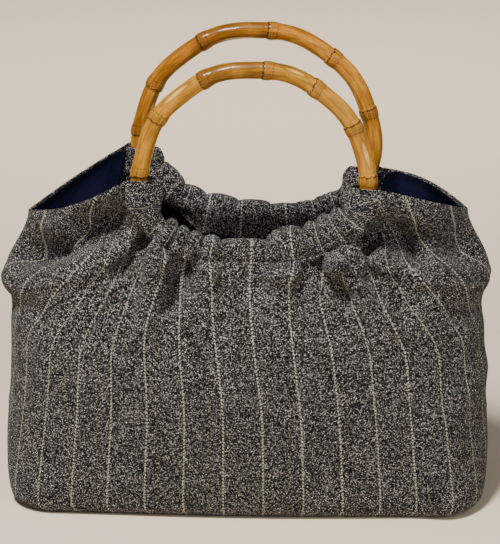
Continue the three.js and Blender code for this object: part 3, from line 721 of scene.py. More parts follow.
def cloth_width(across, height):
    """Place across the flat cloth that the stripes are woven into."""
    arc = across * PANEL_CLOTH / 2
    along = np.clip(across / CASING_SHARE, -1, 1)
    lean = TOP_SHEAR * (1 - along * along) * smoothstep(height, TOP_SHEAR_FROM, TOP_HEIGHT)
    belly = arc + SIDE_CROWDING * (arc / SIDE_AT) ** 3
    seam = PANEL_CLOTH / 2 + SIDE_CROWDING * (PANEL_CLOTH / 2 / SIDE_AT) ** 3
    wing = np.clip((np.abs(across) - CASING_SHARE) / (1 - CASING_SHARE), 0, 1)
    # The columns of a casing are further apart about the middle of the ring
    spread = np.abs(along) ** (2 / LOWER_SQUARENESS) * MIDDLE_SPREAD ** (1 - 2 / LOWER_SQUARENESS)
    even = np.where(np.abs(along) < MIDDLE_SPREAD, np.sign(along) * spread, along)
    drawn = CASING_CLOTH / 2 * even + (GATHERED_CLOTH - CASING_CLOTH / 2) * even * np.abs(even)
    top = np.where(wing > 0, np.sign(across) * lerp(GATHERED_CLOTH, seam, wing), drawn)
    return lerp(belly, top, smoothstep(height, *GATHERED_FROM)) + lean


def casing_grid(handle, along, sizes):
    """The casing over a ring, from above the stitch line outside to the stitch line inside."""
    turn = np.radians(np.linspace(*CASING_TURN, CASING_ROWS))[None, :]
    level = -np.cos(turn)
    radius = casing_radius(handle, along, sizes)[:, None]
    lobes = casing_lobes(handle, along)[:, None]
    # On the sleeves the cloth is flat in front of the cane, and what is spare lies on the ring's inner side
    sleeve = sleeve_share(along)[:, None]
    closeness, narrowing = SLEEVE_POINT
    spare = sleeve * np.sin(turn / 2) ** closeness
    front = lerp(STITCH_LOBES, GATHER_OUT, smoothstep(turn, 0, math.pi / 2)) * (turn < math.pi)
    flat_front = np.maximum(sleeve, CASING_FLAT)
    rounded = np.where(turn < math.pi / 2, lerp(np.sin(turn), 1, flat_front), np.sin(turn))
    upwards = radius * level + lobes * smoothstep(level, GATHER_LEVEL, 1) + SLEEVE_ROOM * spare
    bulge = lobes * (front + GATHER_IN * (turn >= math.pi))
    outwards = (radius + bulge) * rounded * (1 - narrowing * spare)
    # Between the legs a loose inner layer hangs straight down from the cane to its own stitch line
    between_legs = smoothstep(along, *HANG_FROM) * (1 - smoothstep(along, *HANG_TO))
    hanging = between_legs[:, None] * handle["loose_inside"]
    reach = radius + STITCH_DROP + HANG * hanging
    inner_end = -sizes.tweed / MM / 2 - lerp(STITCH_SPREAD[0], HANG_SPREAD, hanging)
    inside = 1.5 * math.pi  # three quarters of a turn, where the casing faces into the bag
    fallen = HANG_LAST * np.clip((turn - inside) / (turn[0, -1] - inside), 0, 1)
    hangs = hanging * (fallen > 0)
    upwards = lerp(upwards, -reach * fallen, hangs)
    outwards = lerp(outwards, lerp(-radius - bulge, inner_end, fallen), hangs)
    back_by = np.where(along < 0, *handle["drawn_back"])[:, None] * smoothstep(level, DRAWN_BACK_FROM, 1)
    over = casing_point(handle, along[:, None] * (1 - back_by * sleeve), upwards, outwards)
    inner = casing_point(handle, along[:, None], -reach, inner_end)
    return np.concatenate([over, inner], axis=1)


def panel_sheet(handle, field, sizes):
    """One panel: half of the base, the wall, and the casing over the ring."""
    side = handle["side"]
    left = np.linspace(-1, -CASING_SHARE, WING_COLUMNS + 1)
    middle = np.linspace(-CASING_SHARE, CASING_SHARE, CASING_COLUMNS + 1)
    across = np.concatenate([left[:-1], middle, -left[-2::-1]])
    height = lerp(SECTIONS[0, 0], TOP_HEIGHT, np.linspace(0, 1, WALL_ROWS + 1)[1:] ** ROW_SPACING)
    wall = wall_points(handle, across, height, sizes) + field_at(field, across, height)
    body = np.concatenate([base_points(handle, across, BASE_ROWS), wall], axis=1)
    seam = seam_points(body)
    body[seam, 1] = side * SEAM_GAP / 2
    run = run_of_cloth(body)
    rows = np.concatenate([np.zeros(BASE_ROWS), height])
    width = -side * cloth_width(across[:, None], rows[None, :])
    sheet = Sheet()
    numbers = sheet.add(body, (width, run), seam)
    sheet.skin(numbers, side)

    gathered = slice(WING_COLUMNS, WING_COLUMNS + CASING_COLUMNS + 1)
    along = np.clip(across[gathered] / CASING_SHARE, -1, 1)
    casing = casing_grid(handle, along, sizes)
    from_wall = run_of_cloth(np.concatenate([body[gathered, -1:], casing], axis=1))
    casing_run = run[gathered, -1:] + from_wall[:, 1:]
    slide = SLEEVE_SLIDE * (np.sign(along) * smoothstep(np.abs(along), *SLIDE_FROM))[:, None]
    slid = slide * smoothstep(np.linspace(0, 1, casing.shape[1]), 0, SLIDE_ROWS)
    casing_numbers = sheet.add(casing, (width[gathered, -1:] - side * slid, casing_run))
    sheet.skin(np.concatenate([numbers[gathered, -1:], casing_numbers], axis=1), side)
    return sheet, run


def lining_half(handle, field, across, sizes):
    """Half of the lining, inset from a panel's smooth wall: columns by rows, and the run from the base."""
    aside = np.abs(across)
    wing = smoothstep(aside, CASING_SHARE - LINING_STEP, CASING_SHARE - LINING_STEP / 3)[:, None]
    top = lerp(*LINING_TOP, wing)
    height = lerp(LINING_WALL_FROM, top, np.linspace(0, 1, LINING_WALL_ROWS)[None, :])
    grid = np.empty(height.shape + (3,))
    inwards = np.zeros_like(grid)
    moved = np.empty_like(grid)
    for i, place_across in enumerate(across):
        near = np.clip(place_across + np.array([-LINING_NEAR, 0, LINING_NEAR]), -1, 1)
        before, grid[i], after = wall_points(handle, near, height[i], sizes)
        inwards[i, :, 0] = before[:, 1] - after[:, 1]
        inwards[i, :, 1] = after[:, 0] - before[:, 0]
        moved[i] = field_at(field, across[i:i + 1], height[i])[0]
    inwards = -handle["side"] * unit(inwards)
    # At the side seams the two halves meet in a mitre
    for column in (0, -1):
        sideways = np.maximum(MITRE_LIMIT, np.abs(inwards[column, :, 0]))
        inwards[column] = 0
        inwards[column, :, 0] = -np.sign(across[column]) / sideways
    hem = wing * smoothstep(height, LINING_HEM_FROM, top)
    leg = smoothstep(height, LINING_LEG_FROM, top) * (1 - smoothstep(aside, *LINING_LEG_END))[:, None]
    dents = np.maximum(0, (moved * inwards).sum(-1))
    # Where the panel is pushed in, the lining hangs straight down from the deepest place above it
    rows, columns = LINING_HANG
    hung = np.pad(dents, ((columns, columns), (0, rows)), mode="edge")
    hung = np.lib.stride_tricks.sliding_window_view(hung, (2 * columns + 1, rows + 1)).max((-1, -2))
    inset = lerp(LINING_INSET, LINING_HEM_INSET, hem) + hung
    inset = lerp(inset, LINING_LEG_INSET + LINING_LEG_DENT * hung, leg)
    floor = base_points(handle, across, LINING_BASE_ROWS)
    floor[..., 2] = LINING_FLOOR
    covered = np.linspace(0, LINING_FLOOR_SHARE, LINING_BASE_ROWS)[None, :, None]
    half = np.concatenate([lerp(floor[:, :1], floor, covered), grid + inwards * inset[..., None]], axis=1)
    return half, run_of_cloth(half)


def lining_sheet(fields, sizes):
    """The lining is one bag: its halves share the columns at the side seams and the base's middle."""
    edge = CASING_SHARE - LINING_STEP * 1.5
    left = np.linspace(-1, -edge, LINING_WING_COLUMNS)
    middle = np.linspace(-edge, edge, LINING_MIDDLE_COLUMNS)[1:-1]
    across = np.concatenate([left, middle, -left[::-1]])
    sheet = Sheet()
    shared = None
    for name, handle in HANDLES.items():
        points, run = lining_half(handle, fields[name], across, sizes)
        seam = seam_points(points)
        points[seam, 1] = 0
        numbers = sheet.add(points, (across[:, None] * PANEL_CLOTH / 2, run[:, -1:] - run), seam)
        if shared is None:
            shared = numbers
        else:
            numbers = np.where(seam, shared, numbers)
        sheet.skin(numbers, handle["side"])
    return sheet


def cane_mesh(name, handle, sizes):
    """A bamboo ring: a closed tube with raised knuckles, grooves, and slightly bowed stretches."""
    dense = np.linspace(0, 2 * math.pi, RING_SAMPLES)
    x, z = ring_point(handle, dense)
    length = np.concatenate([[0], np.cumsum(np.hypot(np.diff(x), np.diff(z)))])
    total = length[-1]
    run = np.linspace(0, total, RING_STEPS, endpoint=False)
    x, z = ring_point(handle, np.interp(run, length, dense))
    centre = np.stack([x, z], -1)
    tangent = unit(np.roll(centre, -1, 0) - np.roll(centre, 1, 0))
    out = np.stack([tangent[:, 1], -tangent[:, 0]], -1)
    knots = np.interp(np.radians(handle["knuckles"]), dense, length)
    # The swollen band of a knuckle lies before its scar, because the cane grew the other way round
    from_scar = knots[None, :] - run[:, None]
    from_scar = (from_scar + total / 2) % total - total / 2
    scar = from_scar[np.arange(len(run)), np.abs(from_scar).argmin(1)]
    bare = 1 - smoothstep(-z / handle["sag"], *BARE_CANE)
    swell = sum(rise * bell(scar, at, width) for rise, at, width in KNUCKLE_SWELLS)
    radius = cane_radius(handle, z, sizes.cane / MM) * (1 + swell * bare)
    around = np.linspace(0, 2 * math.pi, CANE_SIDES, endpoint=False)
    depth = np.zeros((len(run), CANE_SIDES))
    for start, end, (facing, deep) in zip(knots, np.roll(knots, -1), handle["grooves"]):
        begun = smoothstep(run, *(start + far for far in GROOVE_START))
        ended = smoothstep(run, *(end - far for far in GROOVE_END))
        turn = (around - math.radians(facing) + math.pi) % (2 * math.pi) - math.pi
        depth += deep * (begun * (1 - ended))[:, None] * bell(turn, 0, GROOVE_WIDTH)[None, :]
    wander = sum(far * np.sin(waves * around + run[:, None] / span) for far, waves, span in CANE_WANDER)
    reach = radius[:, None] - depth + wander * bare[:, None]
    far, stretches = CANE_BOW
    bow = far * np.cos(run / total * 2 * math.pi * stretches) * bare
    spread = reach * np.cos(around)[None, :] + bow[:, None]
    # Going round, a quarter turn from outwards faces the front of the bag
    points = place(
        handle, centre[:, :1] + out[:, :1] * spread, -reach * np.sin(around)[None, :],
        centre[:, 1:] + out[:, 1:] * spread,
    ).reshape(-1, 3)
    i, j = np.meshgrid(np.arange(RING_STEPS), np.arange(CANE_SIDES), indexing="ij")
    i2, j2 = (i + 1) % RING_STEPS, (j + 1) % CANE_SIDES
    corners = [(i, j), (i, j2), (i2, j2), (i2, j)]
    faces = np.stack([step * CANE_SIDES + side for step, side in corners], -1).reshape(-1, 4)
    piece = mesh_object(name, points * MM, faces)
    stretch = np.searchsorted(knots, run, side="right") - 1
    values = {
        "scar": np.repeat(np.clip(scar, -KNUCKLE_REACH, KNUCKLE_REACH), CANE_SIDES),
        "along_cane": np.repeat(run, CANE_SIDES),
        "around_cane": np.tile(around, RING_STEPS),
        "groove": depth.reshape(-1),
        # The tones carry painted shade on the stretches over the rings' tops
        "tone": np.repeat(np.array(handle["tones_and_top_shade"])[stretch], CANE_SIDES),
    }
    for label, value in values.items():
        piece.data.attributes.new(label, "FLOAT", "POINT").data.foreach_set("value", value.astype(np.float32))
    return piece


# Materials


def add_node(material, kind, settings=None, inputs=None, stops=()):
    """Adds a shader node, sets its properties, links or fills its input sockets, and gives its outputs."""
    tree = material.node_tree
    node = tree.nodes.new(kind)
    for name, value in (settings or {}).items():
        setattr(node, name, value)
    for key, value in (inputs or {}).items():
        if isinstance(value, bpy.types.NodeSocket):
            tree.links.new(value, node.inputs[key])
        else:
            node.inputs[key].default_value = value
    for i, (position, colour) in enumerate(stops):
        ramp = node.color_ramp.elements
        stop = ramp[i] if i < len(ramp) else ramp.new(position)
        stop.position = position
        stop.color = rgba(colour)
    return node.outputs


def new_material(name):
    """A material with an empty node tree."""
    material = bpy.data.materials.new(name)
    material.use_nodes = True
    material.node_tree.nodes.clear()
    return material


def rgba(colour):
    """A colour, or a number for a grey, with full cover."""
    return (*np.broadcast_to(colour, 3).astype(float).tolist(), 1)


def tweed_material(sizes, colours):
    # Salt-and-pepper wool tweed: black, grey and off-white fibres spun together and woven in a twill, so the
    # eye sees a dry, matt cloth of small even flecks. Cream threads make a broken herringbone stripe. The
    # flecks, about a third of a millimetre each, are drawn in the bag's own space, so that gathers don't draw
    # them out.
    material = new_material("salt_and_pepper_wool_tweed")
    add = partial(add_node, material)
    cloth = add("ShaderNodeUVMap", {"uv_map": "cloth"})[0]
    axes = add("ShaderNodeSeparateXYZ", None, {0: cloth})
    spot = add("ShaderNodeTexCoord")["Object"]
    cells = add("ShaderNodeTexVoronoi", None, {
        "Vector": spot, "Scale": 1 / sizes.fleck, "Randomness": 1.0,
    })["Color"]
    blend, fine = add("ShaderNodeSeparateColor", None, {0: cells})[:2]
    wool = add("ShaderNodeValToRGB", None, {0: blend}, (
        (0.27, colours.tweed_black), (0.61, colours.tweed_charcoal), (0.77, colours.tweed_grey),
        (0.885, colours.tweed_pale), (0.98, colours.tweed_white),
    ))[0]
    cloudy = add("ShaderNodeTexNoise", {"noise_dimensions": "2D"}, {
        "Vector": cloth, "Scale": 1 / (TWEED_CLOUDS * MM), "Detail": 3.0, "Roughness": 0.55,
    })[0]
    shade = add("ShaderNodeMapRange", None, {0: cloudy, 1: 0.3, 2: 0.7, 3: 0.84, 4: 1.12})[0]
    row_turns = add("ShaderNodeMath", {"operation": "MULTIPLY"}, {
        0: axes[1], 1: 2 * math.pi / sizes.row_pitch,
    })[0]
    row = add("ShaderNodeMath", {"operation": "SINE"}, {0: row_turns})[0]
    shade = add("ShaderNodeMath", {"operation": "MULTIPLY_ADD"}, {0: row, 1: 0.12, 2: shade})[0]
    mottled = add("ShaderNodeMix", {"data_type": "RGBA", "blend_type": "MULTIPLY"}, {
        0: 1.0, 6: wool, 7: shade,
    })[2]
    # Stripe: distance from its middle, and dashes that slant the other way on the next stripe
    turns = add("ShaderNodeMath", {"operation": "MULTIPLY_ADD"}, {
        0: axes[0], 1: 1 / sizes.stripe_pitch, 2: 0.5 - STRIPE_PHASE * MM / sizes.stripe_pitch,
    })[0]
    part = add("ShaderNodeMath", {"operation": "FRACT"}, {0: turns})[0]
    centred = add("ShaderNodeMath", {"operation": "SUBTRACT"}, {0: part, 1: 0.5})[0]
    off = add("ShaderNodeMath", {"operation": "ABSOLUTE"}, {0: centred})[0]
    aside = add("ShaderNodeMath", {"operation": "MULTIPLY"}, {0: off, 1: sizes.stripe_pitch})[0]
    whole = add("ShaderNodeMath", {"operation": "FLOOR"}, {0: turns})[0]
    odd = add("ShaderNodeMath", {"operation": "FLOORED_MODULO"}, {0: whole, 1: 2.0})[0]
    way = add("ShaderNodeMath", {"operation": "MULTIPLY_ADD"}, {
        0: odd, 1: 2 * DASH_SLANT * sizes.stripe_pitch, 2: -DASH_SLANT * sizes.stripe_pitch,
    })[0]
    slant = add("ShaderNodeMath", {"operation": "MULTIPLY_ADD"}, {0: centred, 1: way, 2: axes[1]})[0]
    dash_turns = add("ShaderNodeMath", {"operation": "DIVIDE"}, {0: slant, 1: sizes.dash_pitch})[0]
    dash_part = add("ShaderNodeMath", {"operation": "FRACT"}, {0: dash_turns})[0]
    dash = add("ShaderNodeMapRange", {"interpolation_type": "SMOOTHSTEP"}, {
        0: dash_part, 1: 0.42, 2: 0.55, 3: 0.0, 4: 1.0,
    })[0]
    within = add("ShaderNodeMapRange", {"interpolation_type": "SMOOTHSTEP"}, {
        0: aside, 1: sizes.stripe_width * 0.36, 2: sizes.stripe_width * 0.62, 3: 1.0, 4: 0.0,
    })[0]
    stripe = add("ShaderNodeMath", {"operation": "MULTIPLY"}, {0: dash, 1: within})[0]
    worn = add("ShaderNodeMapRange", None, {0: fine, 1: 0.3, 2: 0.6, 3: 0.35, 4: 0.95})[0]
    stripe = add("ShaderNodeMath", {"operation": "MULTIPLY"}, {0: stripe, 1: worn})[0]
    colour = add("ShaderNodeMix", {"data_type": "RGBA"}, {
        0: stripe, 6: mottled, 7: rgba(colours.stripe_cream),
    })[2]
    height = add("ShaderNodeMath", {"operation": "MULTIPLY_ADD"}, {0: stripe, 1: 0.5, 2: blend})[0]
    bump = add("ShaderNodeBump", None, {"Strength": 0.55, "Distance": 0.0006, "Height": height})[0]
    shader = add("ShaderNodeBsdfPrincipled", None, {
        "Base Color": colour, "Roughness": 0.93, "IOR": 1.45, "Specular IOR Level": 0.08,
        "Sheen Weight": 0.04, "Sheen Roughness": 0.6, "Normal": bump,
    })[0]
    add("ShaderNodeOutputMaterial", None, {0: shader})
    return material


def lining_material(sizes, colours):
    # Navy cotton twill: fine steep ribs on the cloth's own navy. Their backs are painted lighter as a painted
    # highlight, and the near-black between them is painted shade.
    # Along its top edge, over the turned band, the lining is drawn darker. The ribs are drawn at about twice
    # their real pitch, to show at this size.
    material = new_material("navy_cotton_twill")
    add = partial(add_node, material)
    cloth = add("ShaderNodeUVMap", {"uv_map": "cloth"})[0]
    axes = add("ShaderNodeSeparateXYZ", None, {0: cloth})
    slant = add("ShaderNodeMath", {"operation": "MULTIPLY_ADD"}, {0: axes[1], 1: RIB_SLANT, 2: axes[0]})[0]
    turns = add("ShaderNodeMath", {"operation": "MULTIPLY"}, {
        0: slant, 1: 2 * math.pi / sizes.rib_pitch,
    })[0]
    wave = add("ShaderNodeMath", {"operation": "SINE"}, {0: turns})[0]
    rib = add("ShaderNodeMapRange", None, {0: wave, 1: -1.0, 2: 1.0, 3: 0.0, 4: 1.0})[0]
    uneven = add("ShaderNodeTexNoise", {"noise_dimensions": "2D"}, {
        "Vector": cloth, "Scale": 1 / (LINING_SLUBS * MM), "Detail": 3.0, "Roughness": 0.6,
    })[0]
    lit = add("ShaderNodeMath", {"operation": "MULTIPLY"}, {0: rib, 1: uneven})[0]
    # Painted highlight on the ribs' backs (lighter navy) and painted shade between them (near-black)
    colour = add("ShaderNodeValToRGB", None, {0: lit}, (
        (0.05, colours.navy_rib_shade), (0.7, colours.navy_with_rib_highlight),
    ))[0]
    # Darker within about 6 mm of the lining's top edge
    band = add("ShaderNodeMapRange", {"interpolation_type": "SMOOTHSTEP"}, {
        0: axes[1], 1: LINING_BAND[0] * MM, 2: LINING_BAND[1] * MM, 3: 0.55, 4: 1.0,
    })[0]
    colour = add("ShaderNodeMix", {"data_type": "RGBA", "blend_type": "MULTIPLY"}, {
        0: 1.0, 6: colour, 7: band,
    })[2]
    bump = add("ShaderNodeBump", None, {"Strength": 0.5, "Distance": 0.0004, "Height": lit})[0]
    shader = add("ShaderNodeBsdfPrincipled", None, {
        "Base Color": colour, "Roughness": 0.8, "IOR": 1.5, "Specular IOR Level": 0.06, "Normal": bump,
    })[0]
    add("ShaderNodeOutputMaterial", None, {0: shader})
    return material


def bamboo_material(name, pale, honey, deep, colours):
    # Bamboo cane, heat-bent and varnished: long fibres of honey and pale straw under a clear gloss coat,
    # and at each knuckle a dark scar line with a rough, ringed band beside it.
    material = new_material(name)
    add = partial(add_node, material)
    along, around, scar, groove, tone = (
        add("ShaderNodeAttribute", {"attribute_name": label})["Fac"]
        for label in ("along_cane", "around_cane", "scar", "groove", "tone")
    )
    east = add("ShaderNodeMath", {"operation": "COSINE"}, {0: around})[0]
    north = add("ShaderNodeMath", {"operation": "SINE"}, {0: around})[0]
    fibre_run = add("ShaderNodeMath", {"operation": "MULTIPLY"}, {0: along, 1: FIBRE_RUN})[0]
    grain = add("ShaderNodeCombineXYZ", None, {0: east, 1: north, 2: fibre_run})[0]
    fibres = add("ShaderNodeTexNoise", None, {
        "Vector": grain, "Scale": 5.5, "Detail": 4.0, "Roughness": 0.62,
    })[0]
    patch_run = add("ShaderNodeMath", {"operation": "MULTIPLY"}, {0: along, 1: PATCH_RUN})[0]
    patch_at = add("ShaderNodeCombineXYZ", None, {0: east, 1: north, 2: patch_run})[0]
    patches = add("ShaderNodeTexNoise", None, {
        "Vector": patch_at, "Scale": 0.9, "Detail": 3.0, "Roughness": 0.5,
    })[0]
    mixed = add("ShaderNodeMix", {"data_type": "FLOAT"}, {0: 0.5, 2: fibres, 3: patches})[0]
    # Each stretch's tone shifts its colours: the cane's own colour from stretch to stretch, and painted shade
    # on the dark stretches over the rings' tops
    mixed = add("ShaderNodeMath", {"operation": "MULTIPLY_ADD"}, {0: tone, 1: TONE_SHIFT, 2: mixed})[0]
    wood = add("ShaderNodeValToRGB", None, {0: mixed}, (
        (0.36, deep), (0.50, honey), (0.66, pale),
    ))[0]
    streak = add("ShaderNodeMapRange", {"interpolation_type": "SMOOTHSTEP"}, {
        0: groove, 1: 0.12, 2: 0.5, 3: 0.0, 4: 1.5,
    })[0]
    streak = add("ShaderNodeMath", {"operation": "MULTIPLY"}, {0: streak, 1: fibres})[0]
    wood = add("ShaderNodeMix", {"data_type": "RGBA"}, {0: streak, 6: wood, 7: rgba(colours.cane_straw)})[2]
    edge = add("ShaderNodeValToRGB", None, {0: groove}, (
        (0.03, 0), (0.10, 0.8), (0.16, 0.8), (0.30, 0),
    ))[0]
    edge = add("ShaderNodeMath", {"operation": "MULTIPLY"}, {0: edge, 1: fibres})[0]
    wood = add("ShaderNodeMix", {"data_type": "RGBA"}, {0: edge, 6: wood, 7: rgba(colours.cane_halo)})[2]
    # Knuckles: a rough brown band with fine rings, between the scar line and a fainter line
    wobble = add("ShaderNodeTexNoise", None, {
        "Vector": grain, "Scale": 2.6, "Detail": 3.0, "Roughness": 0.6,
    })[0]
    shift = add("ShaderNodeMapRange", None, {0: wobble, 1: 0.3, 2: 0.7, 3: -0.9, 4: 0.9})[0]
    uneven = add("ShaderNodeMath", {"operation": "ADD"}, {0: scar, 1: shift})[0]
    place_on = add("ShaderNodeMapRange", None, {0: uneven, 1: -5.0, 2: 15.0, 3: 0.0, 4: 1.0})[0]
    band = add("ShaderNodeValToRGB", None, {0: place_on}, (
        (0.10, 0), (0.245, 0.35), (0.255, 1), (0.55, 1), (0.575, 0.3), (0.70, 0),
    ))[0]
    rough_band = add("ShaderNodeMapRange", None, {0: fibres, 1: 0.35, 2: 0.65, 3: 0.6, 4: 0.1})[0]
    stained = add("ShaderNodeMath", {"operation": "MULTIPLY"}, {0: band, 1: rough_band})[0]
    wood = add("ShaderNodeMix", {"data_type": "RGBA"}, {0: stained, 6: wood, 7: rgba(colours.cane_halo)})[2]
    lines = add("ShaderNodeValToRGB", None, {0: place_on}, (
        (0.218, 0), (0.236, 1), (0.268, 1), (0.288, 0.05), (0.345, 0), (0.358, 0.55), (0.372, 0),
        (0.425, 0), (0.438, 0.5), (0.452, 0), (0.515, 0), (0.535, 0.5), (0.553, 0.5), (0.572, 0),
    ))[0]
    broken = add("ShaderNodeMapRange", None, {0: fibres, 1: 0.62, 2: 0.42, 3: 0.55, 4: 1.0})[0]
    line = add("ShaderNodeMath", {"operation": "MULTIPLY"}, {0: lines, 1: broken})[0]
    wood = add("ShaderNodeMix", {"data_type": "RGBA"}, {0: line, 6: wood, 7: rgba(colours.cane_scar)})[2]
    relief = add("ShaderNodeMath", {"operation": "MULTIPLY_ADD"}, {0: line, 1: -1.5, 2: fibres})[0]
    bump = add("ShaderNodeBump", None, {"Strength": 0.35, "Distance": 0.0004, "Height": relief})[0]
    rough = add("ShaderNodeMapRange", None, {0: fibres, 1: 0.3, 2: 0.7, 3: 0.30, 4: 0.46})[0]
    shader = add("ShaderNodeBsdfPrincipled", None, {
        "Base Color": wood, "Roughness": rough, "IOR": 1.5, "Specular IOR Level": 0.12, "Normal": bump,
        "Coat Weight": 0.2, "Coat Roughness": 0.08, "Coat IOR": 1.5,
    })[0]
    add("ShaderNodeOutputMaterial", None, {0: shader})
    return material


def floor_material(colours):
    # Matt painted board: an even warm off-white with the faint unevenness of rolled paint.
    material = new_material("matt_painted_board")
    add = partial(add_node, material)
    spot = add("ShaderNodeTexCoord")["Object"]
    cloudy = add("ShaderNodeTexNoise", None, {
        "Vector": spot, "Scale": 1 / (BOARD_CLOUDS * MM), "Detail": 2.0,
    })[0]
    shade = add("ShaderNodeMapRange", None, {0: cloudy, 1: 0.3, 2: 0.7, 3: 0.985, 4: 1.0})[0]
    tint = add("ShaderNodeMix", {"data_type": "RGBA", "blend_type": "MULTIPLY"}, {
        0: 1.0, 6: rgba(colours.floor), 7: shade,
    })[2]
    shader = add("ShaderNodeBsdfPrincipled", None, {
        "Base Color": tint, "Roughness": 0.85, "IOR": 1.5, "Specular IOR Level": 0.2,
    })[0]
    add("ShaderNodeOutputMaterial", None, {0: shader})
    return material


# Settings


def length_property(label, note, millimetres):
    """A length that a user may change."""
    return bpy.props.FloatProperty(
        name=label, description=note, default=millimetres * MM, min=0, precision=5,
        unit="LENGTH", subtype="DISTANCE",
    )


def colour_property(label, note, hex_colour):
    """A colour that a user may change."""
    return bpy.props.FloatVectorProperty(
        name=label, description=note, default=linear(hex_colour), size=3, min=0, max=1, subtype="COLOR",
    )


class HandbagSizes(bpy.types.PropertyGroup):
    tweed: length_property("Tweed", "Thickness of the wool cloth", 1.5)
    lining: length_property("Lining", "Thickness of the lining", 1.0)
    cane: length_property("Cane", "Diameter of the bamboo", 11)
    fleck: length_property("Fleck", "Size of the tweed's flecks", 0.34)
    row_pitch: length_property("Row pitch", "From one pale row of the tweed's weave to the next", 2.9)
    stripe_pitch: length_property("Stripe pitch", "From one pinstripe to the next", 25.4)
    stripe_width: length_property("Stripe width", "Width of a pinstripe", 1.15)
    dash_pitch: length_property("Dash pitch", "From one dash of a pinstripe to the next", 2.4)
    rib_pitch: length_property("Rib pitch", "From one rib of the lining to the next", 2.2)


class HandbagColours(bpy.types.PropertyGroup):
    tweed_black: colour_property("Tweed black", "Darkest wool in the tweed", "#010102")
    tweed_charcoal: colour_property("Tweed charcoal", "Dark wool in the tweed", "#070708")
    tweed_grey: colour_property("Tweed grey", "Middle wool in the tweed", "#222221")
    tweed_pale: colour_property("Tweed pale", "Pale wool in the tweed", "#676767")
    tweed_white: colour_property("Tweed white", "Palest wool in the tweed", "#d9d8d7")
    stripe_cream: colour_property("Stripe cream", "Threads of the pinstripes", "#b9b6a5")
    # The lining's navies: its own navy with a painted highlight on the ribs' backs, and painted shade between
    # the ribs
    navy_with_rib_highlight: colour_property("Navy", "Backs of the lining's ribs", "#0b0f33")
    navy_rib_shade: colour_property("Dark navy", "Between the lining's ribs", "#020309")
    cane_straw: colour_property("Cane straw", "Worn grooves of the bamboo", "#d8b264")
    cane_pale: colour_property("Cane pale", "Palest fibres of the handles", "#bd8730")
    cane_honey: colour_property("Cane honey", "Body of the front handle", "#9c6d1c")
    cane_deep: colour_property("Cane deep", "Darkest fibres of the back handle", "#684109")
    cane_olive: colour_property("Cane olive", "Darkest fibres of the front handle", "#69460c")
    cane_amber: colour_property("Cane amber", "Body of the back handle", "#965f12")
    cane_halo: colour_property("Cane halo", "Rough band of the knuckles", "#744d1f")
    cane_scar: colour_property("Cane scar", "Scar lines of the knuckles", "#2b1608")
    floor: colour_property("Floor", "Board the bag stands on", "#e3d4bf")


# Operators


class HANDBAG_OT_panels(bpy.types.Operator):
    """Makes the two tweed panels, with their base, walls, hems and gathered casings"""

    bl_idname = "handbag.panels"
    bl_label = "Tweed Panels"

    def execute(self, context):
        sizes, colours = context.scene.handbag_sizes, context.scene.handbag_colours
        tweed = tweed_material(sizes, colours)
        SETTLED.clear()
        for name, handle in HANDLES.items():
            sheet, run = panel_sheet(handle, settled_wall(name, sizes), sizes)
            panel, area = thick_cloth(f"{name}_tweed_panel", sheet, sizes.tweed / MM)
            panel.data.materials.append(tweed)
            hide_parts(f"{name}_panel")
        return {"FINISHED"}


class HANDBAG_OT_lining(bpy.types.Operator):
    """Makes the navy lining that shows in the bag's wings"""

    bl_idname = "handbag.lining"
    bl_label = "Twill Lining"

    def execute(self, context):
        sizes, colours = context.scene.handbag_sizes, context.scene.handbag_colours
        fields = {name: settled_wall(name, sizes) for name in HANDLES}
        lining, area = thick_cloth("navy_lining", lining_sheet(fields, sizes), sizes.lining / MM)
        lining.data.materials.append(lining_material(sizes, colours))
        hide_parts("lining")
        return {"FINISHED"}


class HANDBAG_OT_handles(bpy.types.Operator):
    """Makes the two bamboo rings"""

    bl_idname = "handbag.handles"
    bl_label = "Bamboo Handles"

    def execute(self, context):
        sizes, colours = context.scene.handbag_sizes, context.scene.handbag_colours
        finishes = {
            "front": ("varnished_bamboo_honey", colours.cane_pale, colours.cane_honey, colours.cane_olive),
            "back": ("varnished_bamboo_amber", colours.cane_pale, colours.cane_amber, colours.cane_deep),
        }
        for name, handle in HANDLES.items():
            ring = cane_mesh(f"{name}_bamboo_ring", handle, sizes)
            ring.data.materials.append(bamboo_material(*finishes[name], colours))
            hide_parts(f"{name}_handle")
        return {"FINISHED"}


def aimed_object(scene, name, data, spot, target):
    """Adds a light or a camera that looks from a place to a target."""
    item = bpy.data.objects.new(name, data)
    item.location = spot
    item.rotation_euler = (target - item.location).to_track_quat("-Z", "Y").to_euler()
    scene.collection.objects.link(item)
    return item


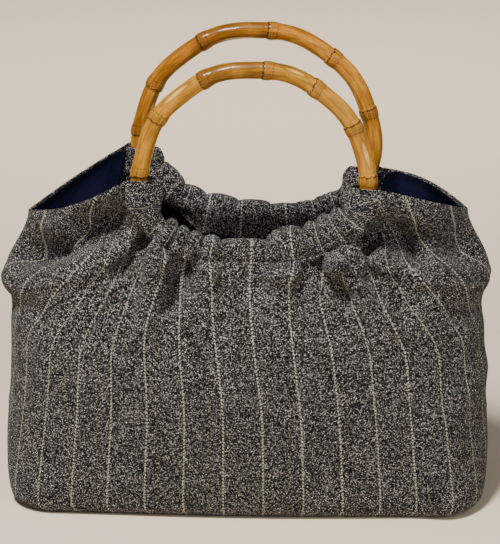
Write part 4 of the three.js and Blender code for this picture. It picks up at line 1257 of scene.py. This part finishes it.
class HANDBAG_OT_stage(bpy.types.Operator):
    """Sets the pale floor, the soft studio lights and the camera"""

    bl_idname = "handbag.stage"
    bl_label = "Floor, Lights and Camera"

    def execute(self, context):
        scene = context.scene
        mesh = bpy.data.meshes.new("board")
        corners = [(x * BOARD_HALF, y * BOARD_HALF, 0) for x, y in ((-1, -1), (1, -1), (1, 1), (-1, 1))]
        mesh.from_pydata(corners, [], [(0, 1, 2, 3)])
        board = bpy.data.objects.new("board", mesh)
        board.data.materials.append(floor_material(scene.handbag_colours))
        scene.collection.objects.link(board)
        for name, (spot, target, size, watts, tint) in LIGHTS.items():
            lamp = bpy.data.lights.new(name, "AREA")
            lamp.shape = "DISK"
            lamp.size = size
            lamp.energy = watts
            lamp.color = linear(tint)
            aimed_object(scene, name, lamp, Vector(spot), Vector(target))
        world = bpy.data.worlds.new("studio")
        world.use_nodes = True
        sky = world.node_tree.nodes["Background"]
        sky.inputs["Color"].default_value = rgba(linear(SKY_COLOUR))
        sky.inputs["Strength"].default_value = SKY_STRENGTH
        scene.world = world
        lens = bpy.data.cameras.new("photo_camera")
        lens.sensor_fit = "VERTICAL"
        lens.sensor_height = CAMERA_SENSOR
        lens.lens = CAMERA_LENS
        lens.clip_end = CAMERA_FAR
        place_at, aim = Vector(CAMERA_PLACE) * MM, Vector(CAMERA_AIM) * MM
        scene.camera = aimed_object(scene, "photo_camera", lens, place_at, aim)
        return {"FINISHED"}


class HANDBAG_PT_sidebar(bpy.types.Panel):
    bl_label = "Handbag"
    bl_idname = "HANDBAG_PT_sidebar"
    bl_space_type = "VIEW_3D"
    bl_region_type = "UI"
    bl_category = "Handbag"

    def draw(self, context):
        for group in (context.scene.handbag_sizes, context.scene.handbag_colours):
            box = self.layout.box()
            for name in group.__annotations__:
                box.prop(group, name)
        for operator in OPERATORS:
            self.layout.operator(operator.bl_idname)


OPERATORS = (HANDBAG_OT_stage, HANDBAG_OT_panels, HANDBAG_OT_lining, HANDBAG_OT_handles)
CLASSES = (HandbagSizes, HandbagColours, *OPERATORS, HANDBAG_PT_sidebar)


def register():
    for item in CLASSES:
        bpy.utils.register_class(item)
    bpy.types.Scene.handbag_sizes = bpy.props.PointerProperty(type=HandbagSizes)
    bpy.types.Scene.handbag_colours = bpy.props.PointerProperty(type=HandbagColours)


def unregister():
    del bpy.types.Scene.handbag_colours
    del bpy.types.Scene.handbag_sizes
    for item in reversed(CLASSES):
        bpy.utils.unregister_class(item)


def main():
    register()
    bpy.ops.handbag.stage()
    bpy.ops.handbag.panels()
    bpy.ops.handbag.lining()
    bpy.ops.handbag.handles()


if __name__ == "__main__":
    main()
